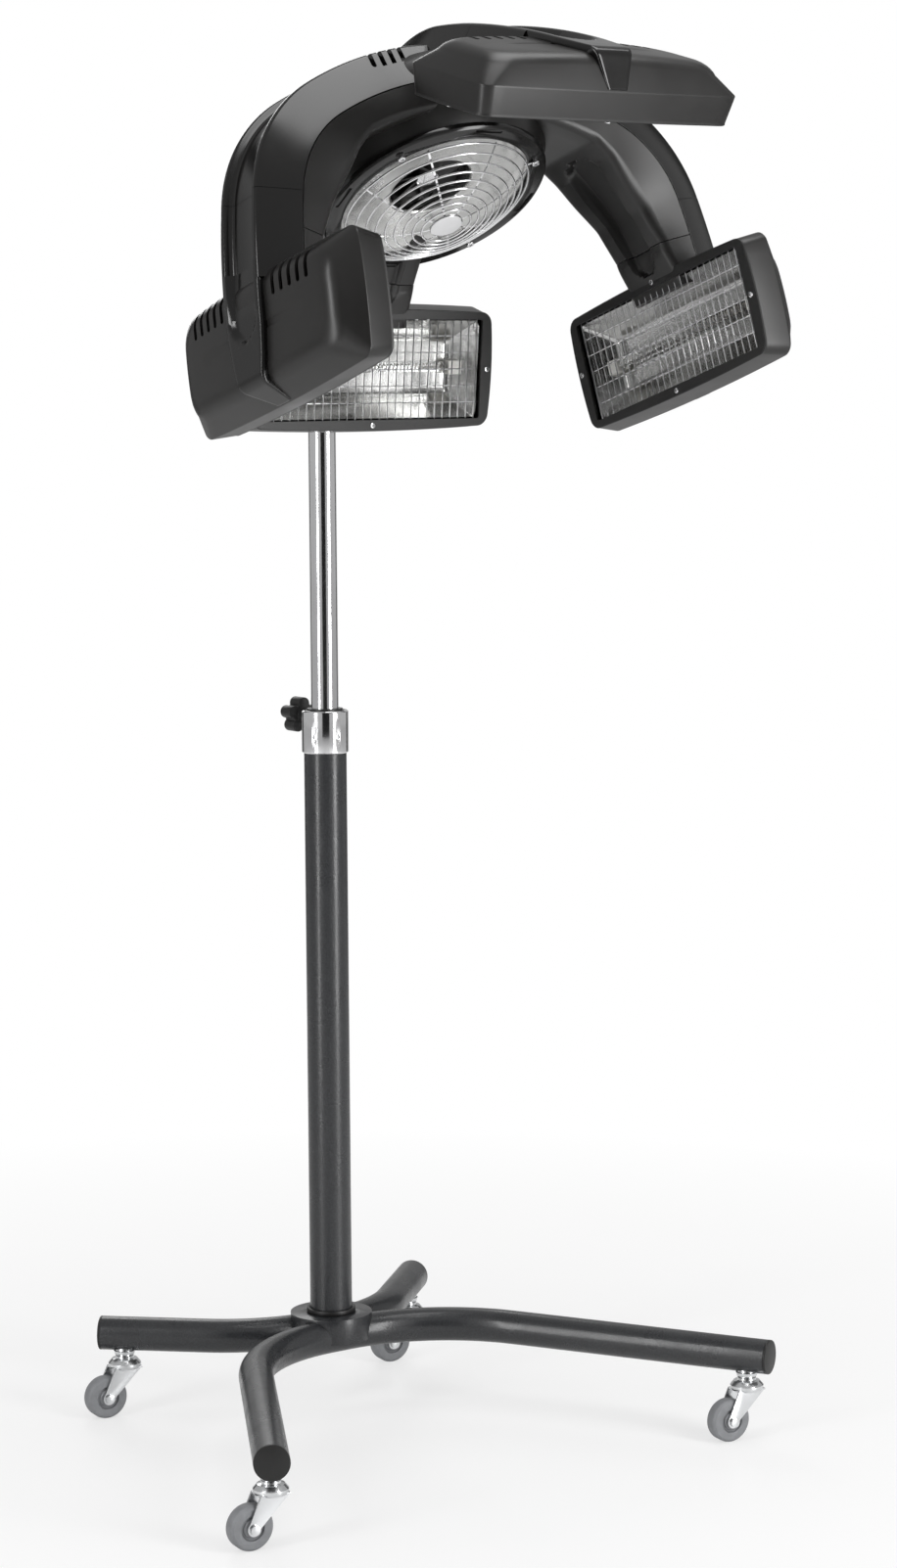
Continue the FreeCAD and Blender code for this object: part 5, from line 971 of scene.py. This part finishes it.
def bezel_bm():
    """Flat frame round a lamp's window, with soft outer corners."""
    inner = (WINDOW_HALF, WINDOW_TALL, 0.003, 0.0, 0.0)
    outer = (LAMP_HALF, LAMP_TALL, LAMP_CORNER, LAMP_BOW, 0.0)
    lowered = (LAMP_HALF - 0.0008, LAMP_TALL - 0.0008, LAMP_CORNER, LAMP_BOW, 0.0)
    bm = ringed([(BEZEL_LEVEL, *inner), (0.0, *inner), (0.0, *lowered), (0.0008, *outer),
                 (BEZEL_LEVEL, *outer)])
    bmesh.ops.bridge_loops(bm, edges=[edge for edge in bm.edges if edge.is_boundary])
    return outward(bm)


def cross_screw(centre, axis, radius, height):
    """Pan-head screw with a cross recess, looking along axis."""
    centre, axis = Vector(centre), Vector(axis).normalized()
    head = rod_bm(radius, centre, centre + axis * height, 32, height * 0.45)
    top = pointing(axis, centre + axis * height)
    cutters = [box_bm((radius * 1.15, radius * 0.28, height), top),
               box_bm((radius * 0.28, radius * 1.15, height * 0.98), top)]
    return carve(head, cutters)


class PROCESSOR_OT_lamps(Operator):
    """Adds the four lamps: housings, window frames, wires, reflectors and quartz tubes"""
    bl_idname = "processor.lamps"
    bl_label = "Lamps"

    def execute(self, context):
        sizes = context.scene.processor_sizes
        for side in SIDES:
            on_lamp("lamp_housing_" + side + "_shell", housing_bm(), side, "shell", ("lamp_housing_" + side,))
            on_lamp("lamp_bezel_" + side + "_frame", bezel_bm(), side, "bezel", ("lamp_bezel_" + side,))
            self.wires(side, sizes.grille_wire / 2)
            self.inside(side, sizes.filament_turns)
        return {"FINISHED"}

    def wires(self, side, radius):
        rods = []
        for index in range(BARS):
            level, along = GRILLE_LEVEL + radius, (index - BARS // 2) * BAR_PITCH
            rods.append(rod_bm(radius, (level, -GRILLE_TALL, along), (level, GRILLE_TALL, along), 10))
        for index in range(RAILS):
            level, across = GRILLE_LEVEL + 3 * radius, (index - RAILS // 2) * RAIL_PITCH
            rods.append(rod_bm(radius, (level, across, -GRILLE_HALF), (level, across, GRILLE_HALF), 10))
        on_lamp("lamp_wires_" + side, joined(rods), side, "chrome", ("lamp_grille_" + side,))
        heads = []
        for spot in ((0, 0.0, 0.1568), (0, 0.0, -0.1568), (0, 0.063, 0.0), (0, -0.063, 0.0)):
            heads.append(cross_screw(spot, (-1, 0, 0), 0.0032, 0.0016))
        on_lamp("lamp_screws_" + side, joined(heads), side, "chrome", slot="chrome")

    def inside(self, side, turns):
        sheet = bmesh.new()
        bmesh.ops.create_grid(sheet, x_segments=1, y_segments=1, size=1.0)
        moved(sheet, plane((0, 0, 0), (0, 1, 0), (0, 0, 1)))
        bmesh.ops.scale(sheet, vec=(1, FLOOR_TALL, FLOOR_HALF), verts=sheet.verts)
        bmesh.ops.translate(sheet, verts=sheet.verts, vec=(SHEET_FLOOR, 0, 0))
        rim = grown_verts(bmesh.ops.extrude_edge_only(sheet, edges=sheet.edges[:]))
        bmesh.ops.scale(sheet, vec=(1, MOUTH_TALL / FLOOR_TALL, MOUTH_HALF / FLOOR_HALF), verts=rim)
        bmesh.ops.translate(sheet, verts=rim, vec=(SHEET_MOUTH - SHEET_FLOOR, 0, 0))
        round_off(sheet, [e for e in sheet.edges if len(e.link_faces) == 2], 0.006, 4)
        obj = on_lamp("lamp_reflector_" + side + "_sheet", sheet, side, "reflector",
                      ("lamp_reflector_" + side,), sharp=60)
        obj.modifiers.new("sheet", "SOLIDIFY").thickness = 0.0006
        end, neck = TUBE_HALF - 0.001, TUBE_R - 0.0005
        glass = turned([(0.0, -TUBE_HALF), (neck, -TUBE_HALF), (TUBE_R, -end), (TUBE_R, end), (neck, TUBE_HALF),
                        (0.0, TUBE_HALF)], 28, Matrix.Translation((TUBE_DEPTH, 0, 0)))
        on_lamp("lamp_tube_" + side + "_glass", glass, side, "quartz", ("lamp_tube_" + side,))
        reach, steps = TUBE_HALF - COIL_MARGIN, turns * COIL_STEPS
        coil = bmesh.new()
        bmesh.ops.create_circle(coil, segments=6, radius=FILAMENT_R)
        moved(coil, Matrix.Translation((TUBE_DEPTH + COIL_R, 0, -reach)) @ Matrix.Rotation(math.pi / 2, 4, "X"))
        bmesh.ops.spin(coil, geom=coil.verts[:] + coil.edges[:], cent=(TUBE_DEPTH, 0, 0), axis=(0, 0, 1),
                       dvec=(0, 0, 2 * reach / steps), angle=math.tau * turns, steps=steps, use_duplicate=False)
        bmesh.ops.holes_fill(coil, edges=coil.edges[:], sides=6)
        on_lamp("lamp_filament_" + side, coil, side, "filament", slot="chrome")
        ends = []
        for way in (-1, 1):
            for size, rise, past, rounding in (((0.012, 0.016, 0.018), 0.0, 0.004, 0.0015),
                                               ((0.002, 0.012, 0.026), 0.007, 0.002, 0.0004)):
                spot = Matrix.Translation((TUBE_DEPTH + rise, 0, way * (TUBE_HALF + past)))
                ends.append(box_bm(size, spot, rounding))
        on_lamp("lamp_sockets_" + side, joined(ends), side, "ceramic", slot="quartz")


# ------------------------------------------------------------------------- fan
def ring_bm(radius, wire, level):
    """Wire ring about Z."""
    around = [polar(wire / 2, 360 * index / WIRE_SIDES) for index in range(WIRE_SIDES)]
    return turned([(radius + spoke.x, level + spoke.y) for spoke in around])


class PROCESSOR_OT_fan(Operator):
    """Adds the fan: its bezel, polished dish, wire guard, impeller and motor"""
    bl_idname = "processor.fan"
    bl_label = "Fan"

    def execute(self, context):
        dressed("fan_bezel", "arm", context.scene.processor_sizes.edge_round)
        dish = turned([(0.1095, -0.0005), (0.100, 0.001), (0.076, 0.007), (0.046, 0.010), (0.046, 0.032),
                       (0.047, 0.032), (0.047, 0.011), (0.0765, 0.008), (0.101, 0.002), (0.1095, 0.0005)],
                      128, FAN, [0, 0.006, 0.012, 0.004, 0, 0, 0.003, 0.012, 0.006, 0], 5)
        piece("fan_dish", dish, "head", "dish", ("reflector_dish",), sharp=50)
        self.guard(context.scene.processor_sizes.guard_wire)
        dressed("fan_impeller", "trim", 0.0003)
        cap = turned([(0.0, HUB_CAP_Z - 0.0022), (0.008, HUB_CAP_Z - 0.0019), (0.0125, HUB_CAP_Z - 0.0010),
                      (0.0125, HUB_CAP_Z), (0.0, HUB_CAP_Z)], 48, FAN, [0, 0.002, 0.0004, 0, 0])
        piece("fan_hub_cap", cap, "impeller", "chrome", slot="chrome")
        dressed("fan_motor", "motor", 0.0004)
        heads = []
        for angle in SCREW_ANGLES:
            spot = polar(SCREW_RING, angle) + Vector((0, 0, -BEZEL_THICK - 0.0024))
            heads.append(cross_screw(spot, (0, 0, -1), 0.0045, 0.003))
            heads.append(rod_bm(0.0022, spot, spot + Vector((0, 0, 0.004)), 12))
        piece("guard_screw_heads", moved(joined(heads), FAN), "head", "chrome", ("guard_screws",))
        return {"FINISHED"}

    def guard(self, wire):
        """Wire cage: rings and spokes on a shallow dome, with a boss in the middle."""
        cap = (GUARD_R ** 2 + GUARD_DOME ** 2) / (2 * GUARD_DOME)
        foot = cap - GUARD_DOME - BEZEL_THICK - wire / 2

        def level(radius):
            return foot - math.sqrt(cap ** 2 - radius ** 2)

        parts = []
        pitch = (GUARD_R - GUARD_BOSS_R) / GUARD_RINGS
        for index in range(1, GUARD_RINGS + 1):
            radius = GUARD_BOSS_R + pitch * index
            parts.append(ring_bm(radius, wire, level(radius) - wire))
        low, high = math.asin(GUARD_R / cap), math.asin((GUARD_BOSS_R - wire) / cap)
        for index in range(GUARD_SPOKES):
            spoke = bmesh.new()
            bmesh.ops.create_circle(spoke, cap_ends=False, segments=WIRE_SIDES, radius=wire / 2)
            moved(spoke, Matrix.Rotation(-low, 4, "Y") @ Matrix.Translation((0, 0, -cap)) @
                  Matrix.Rotation(math.pi, 4, "X"))
            bmesh.ops.spin(spoke, geom=spoke.verts[:] + spoke.edges[:], cent=(0, 0, 0), axis=(0, 1, 0),
                           dvec=(0, 0, 0), angle=low - high, steps=24, use_duplicate=False)
            bmesh.ops.holes_fill(spoke, edges=spoke.edges, sides=WIRE_SIDES)
            turn = math.radians(SPOKE_START + 360.0 * index / GUARD_SPOKES)
            parts.append(moved(spoke, Matrix.Rotation(turn, 4, "Z") @ Matrix.Translation((0, 0, foot))))
        crown = level(0)
        parts.append(turned([(0.0, crown + 0.0015), (GUARD_BOSS_R, crown + 0.0015),
                             (GUARD_BOSS_R, crown - 0.0015), (0.012, crown - 0.0022), (0.0, crown - 0.0026)],
                            64, rounds=[0, 0.0006, 0.0006, 0.004, 0]))
        rest = Vector((0, 0, level(GUARD_R)))
        for angle in SCREW_ANGLES:
            parts.append(rod_bm(wire / 2, polar(GUARD_R - wire, angle) + rest, polar(0.1148, angle) + rest, 12))
        piece("guard_cage", moved(joined(parts), FAN), "head", "chrome", ("wire_guard",), sharp=50)


# -------------------------------------------------------------------- controls
class PROCESSOR_OT_controls(Operator):
    """Adds the control panel, switch, timer dial, board and cord gland"""
    bl_idname = "processor.controls"
    bl_label = "Controls"

    def execute(self, context):
        return dress_all(context, (
            ("control_panel", "trim", 1), ("power_switch", "bezel", 0.6), ("timer_dial", "trim", 1),
            ("circuit_board", "board", 0), ("cord_gland", "trim", 1), ("tilt_pin", "zinc", 1),
            ("swivel_neck", "arm", 1)))


# ------------------------------------------------------------ column and base
class PROCESSOR_OT_column(Operator):
    """Adds the telescopic column with its collar and knob"""
    bl_idname = "processor.column"
    bl_label = "Column"

    def execute(self, context):
        return dress_all(context, (
            ("lower_column", "paint", 0), ("upper_column", "tube", 0), ("tube_guide", "trim", 0),
            ("height_collar", "chrome", 1), ("collar_bush", "trim", 1), ("collar_screws", "zinc", 0.5),
            ("height_knob", "trim", 2, 3)))


class PROCESSOR_OT_base(Operator):
    """Adds the bent leg tubes, the hub and the four casters"""
    bl_idname = "processor.base"
    bl_label = "Base"

    def execute(self, context):
        rows = [("front_leg_tube", "paint", 0), ("rear_leg_tube", "paint", 0), ("base_hub", "paint", 1),
                ("column_foot_ring", "trim", 2), ("leg_end_caps", "trim", 2), ("caster_sockets", "zinc", 1)]
        for corner in CORNERS:
            rows += [("caster_fork_" + corner, "zinc", 0.7), ("caster_wheel_" + corner, "rubber", 1)]
        return dress_all(context, rows)


# ----------------------------------------------------------------------- stage
def card(name, place, size, shown_to_camera=False):
    """Flat card of the stage."""
    bm = bmesh.new()
    bmesh.ops.create_grid(bm, x_segments=1, y_segments=1, size=0.5)
    bmesh.ops.scale(bm, vec=(*size, 1), verts=bm.verts)
    obj = mesh_object(name, moved(bm, place))
    obj.visible_camera = shown_to_camera
    return obj


def ring_spot(angle, distance, height):
    """Point round the column at an angle from the camera's side."""
    heading = math.radians(CAMERA_HEADING + angle)
    return Vector((-distance * math.sin(heading), -distance * math.cos(heading), height))


def area_light(name, spot, target, size, power):
    light = bpy.data.lights.new(name, "AREA")
    light.shape, light.size, light.size_y, light.energy = "RECTANGLE", *size, power
    obj = linked(name, light)
    obj.location = spot
    obj.rotation_euler = (Vector(target) - Vector(spot)).to_track_quat("-Z", "Y").to_euler()


class PROCESSOR_OT_stage(Operator):
    """Adds the floor, the studio lights and the camera"""
    bl_idname = "processor.stage"
    bl_label = "Stage"

    def execute(self, context):
        scene = context.scene
        self.floor()
        self.world(scene)
        area_light("left strip light", ring_spot(-54, 3.0, 1.3), (0, -0.1, 1.1), (0.8, 3.2), 70)
        area_light("right strip light", ring_spot(44, 3.0, 1.3), (0, -0.1, 1.1), (0.5, 3.2), 44)
        area_light("top light", (0.3, -0.6, 3.2), (0, -0.2, 1.0), (1.6, 1.2), 24)
        area_light("rear light", ring_spot(165, 2.8, 2.2), (0, -0.1, 1.3), (1.4, 1.4), 16)
        self.flags()
        self.camera(scene)
        return {"FINISHED"}

    def floor(self):
        """White floor that shows the shadow near the part and fades to the background."""
        floor = card("studio floor", Matrix.Identity(4), (30, 30), True)
        white = Finish("white studio floor", (0.9, 0.9, 0.9), 0.5)
        material = white.material
        floor.data.materials.append(material)
        white.gloss(white.grain(3.0), 0.42, 0.5)
        reach = white.texture("ShaderNodeVectorMath", operation="LENGTH")
        fade = white.spread(reach, "Value", 0.5, 1.6, 0.62, 1.0)
        rays = node(material, "ShaderNodeLightPath")
        shade = node(material, "ShaderNodeMath", operation="MULTIPLY")
        link(material, rays, "Is Camera Ray", shade, 0)
        link(material, fade, "Result", shade, 1)
        glow = node(material, "ShaderNodeEmission", Strength=1.0)
        mix = node(material, "ShaderNodeMixShader")
        link(material, shade, "Value", mix, "Fac")
        link(material, white.surface, "BSDF", mix, 1)
        link(material, glow, "Emission", mix, 2)
        link(material, mix, "Shader", material.node_tree.nodes["Material Output"], "Surface")

    def world(self, scene):
        """White to the camera and through glass, dimmer to mirrors and to the light on the part."""
        world = scene.world = bpy.data.worlds.new("studio")
        world.use_nodes = True
        back = world.node_tree.nodes["Background"]
        back.inputs["Color"].default_value = (1, 1, 1, 1)
        rays = node(world, "ShaderNodeLightPath")
        seen = node(world, "ShaderNodeMath", operation="MAXIMUM")
        link(world, rays, "Is Camera Ray", seen, 0)
        link(world, rays, "Is Transmission Ray", seen, 1)
        mirrored = node(world, "ShaderNodeMath", operation="MULTIPLY_ADD")
        link(world, rays, "Is Glossy Ray", mirrored, 0)
        mirrored.inputs[1].default_value = MIRRORED_ROOM - DIFFUSE_ROOM
        mirrored.inputs[2].default_value = DIFFUSE_ROOM
        strength = node(world, "ShaderNodeMath", operation="MAXIMUM")
        link(world, seen, "Value", strength, 0)
        link(world, mirrored, "Value", strength, 1)
        link(world, strength, "Value", back, "Strength")

    def flags(self):
        """Dark cards that only reflections see, so bright metal has edges."""
        material = shader("black flag", (0.01, 0.01, 0.01), 0.9)[0]
        for index, (angle, distance, width) in enumerate(((-6, 5.4, 3.4), (138, 3.4, 0.9), (-138, 3.4, 0.9))):
            spot = ring_spot(angle, distance, 1.4)
            facing = (Vector((0, 0, spot[2])) - spot).normalized()
            place = plane(spot, facing.cross(Vector((0, 0, 1))), (0, 0, 1))
            flag = card("flag " + str(index + 1), place, (width, 6.0))
            flag.data.materials.append(material)
            flag.visible_diffuse = flag.visible_shadow = flag.visible_transmission = False

    def camera(self, scene):
        heading, pitch, roll = (math.radians(turn) for turn in (CAMERA_HEADING, CAMERA_PITCH, CAMERA_ROLL))
        right = Vector((math.cos(heading), -math.sin(heading), 0))
        ahead = Vector((math.sin(heading), math.cos(heading), 0))
        up = Vector((0, 0, 1))
        spot = right * CAMERA_ASIDE - ahead * CAMERA_BACK + up * CAMERA_HEIGHT
        aim = ahead * math.cos(pitch) - up * math.sin(pitch)
        crest = ahead * math.sin(pitch) + up * math.cos(pitch)
        across = right * math.cos(roll) - crest * math.sin(roll)
        above = crest * math.cos(roll) + right * math.sin(roll)
        camera = bpy.data.cameras.new("camera")
        camera.sensor_fit, camera.sensor_height, camera.lens = "VERTICAL", SENSOR, FOCAL / FRAME_TALL * SENSOR
        turn = Matrix((across, above, -aim)).transposed().to_4x4()
        turn.translation = spot
        scene.camera = linked("camera", camera)
        scene.camera.matrix_world = turn
        scene.view_settings.view_transform = "Standard"


# ----------------------------------------------------------------------- panel
class PROCESSOR_PT_panel(Panel):
    """Lists the sizes, the colours and the pieces"""
    bl_idname = "PROCESSOR_PT_panel"
    bl_label = "Hair color processor"
    bl_space_type = "VIEW_3D"
    bl_region_type = "UI"
    bl_category = "Processor"

    def draw(self, context):
        for group in (context.scene.processor_sizes, context.scene.processor_colours):
            column = self.layout.column()
            for name in group.__annotations__:
                column.prop(group, name)
        for operator in OPERATORS:
            self.layout.operator(operator.bl_idname)


OPERATORS = (PROCESSOR_OT_head, PROCESSOR_OT_arm_ends, PROCESSOR_OT_lamps, PROCESSOR_OT_fan,
             PROCESSOR_OT_controls, PROCESSOR_OT_column, PROCESSOR_OT_base, PROCESSOR_OT_stage)
CLASSES = (ProcessorSizes, ProcessorColours) + OPERATORS + (PROCESSOR_PT_panel,)


def register():
    for cls in CLASSES:
        bpy.utils.register_class(cls)
    bpy.types.Scene.processor_sizes = PointerProperty(type=ProcessorSizes)
    bpy.types.Scene.processor_colours = PointerProperty(type=ProcessorColours)


def unregister():
    del bpy.types.Scene.processor_colours
    del bpy.types.Scene.processor_sizes
    for cls in reversed(CLASSES):
        bpy.utils.unregister_class(cls)


def main():
    register()
    make_materials(bpy.context.scene.processor_colours)
    for operator in OPERATORS:
        area, name = operator.bl_idname.split(".")
        getattr(getattr(bpy.ops, area), name)()


if __name__ == "__main__":
    main()
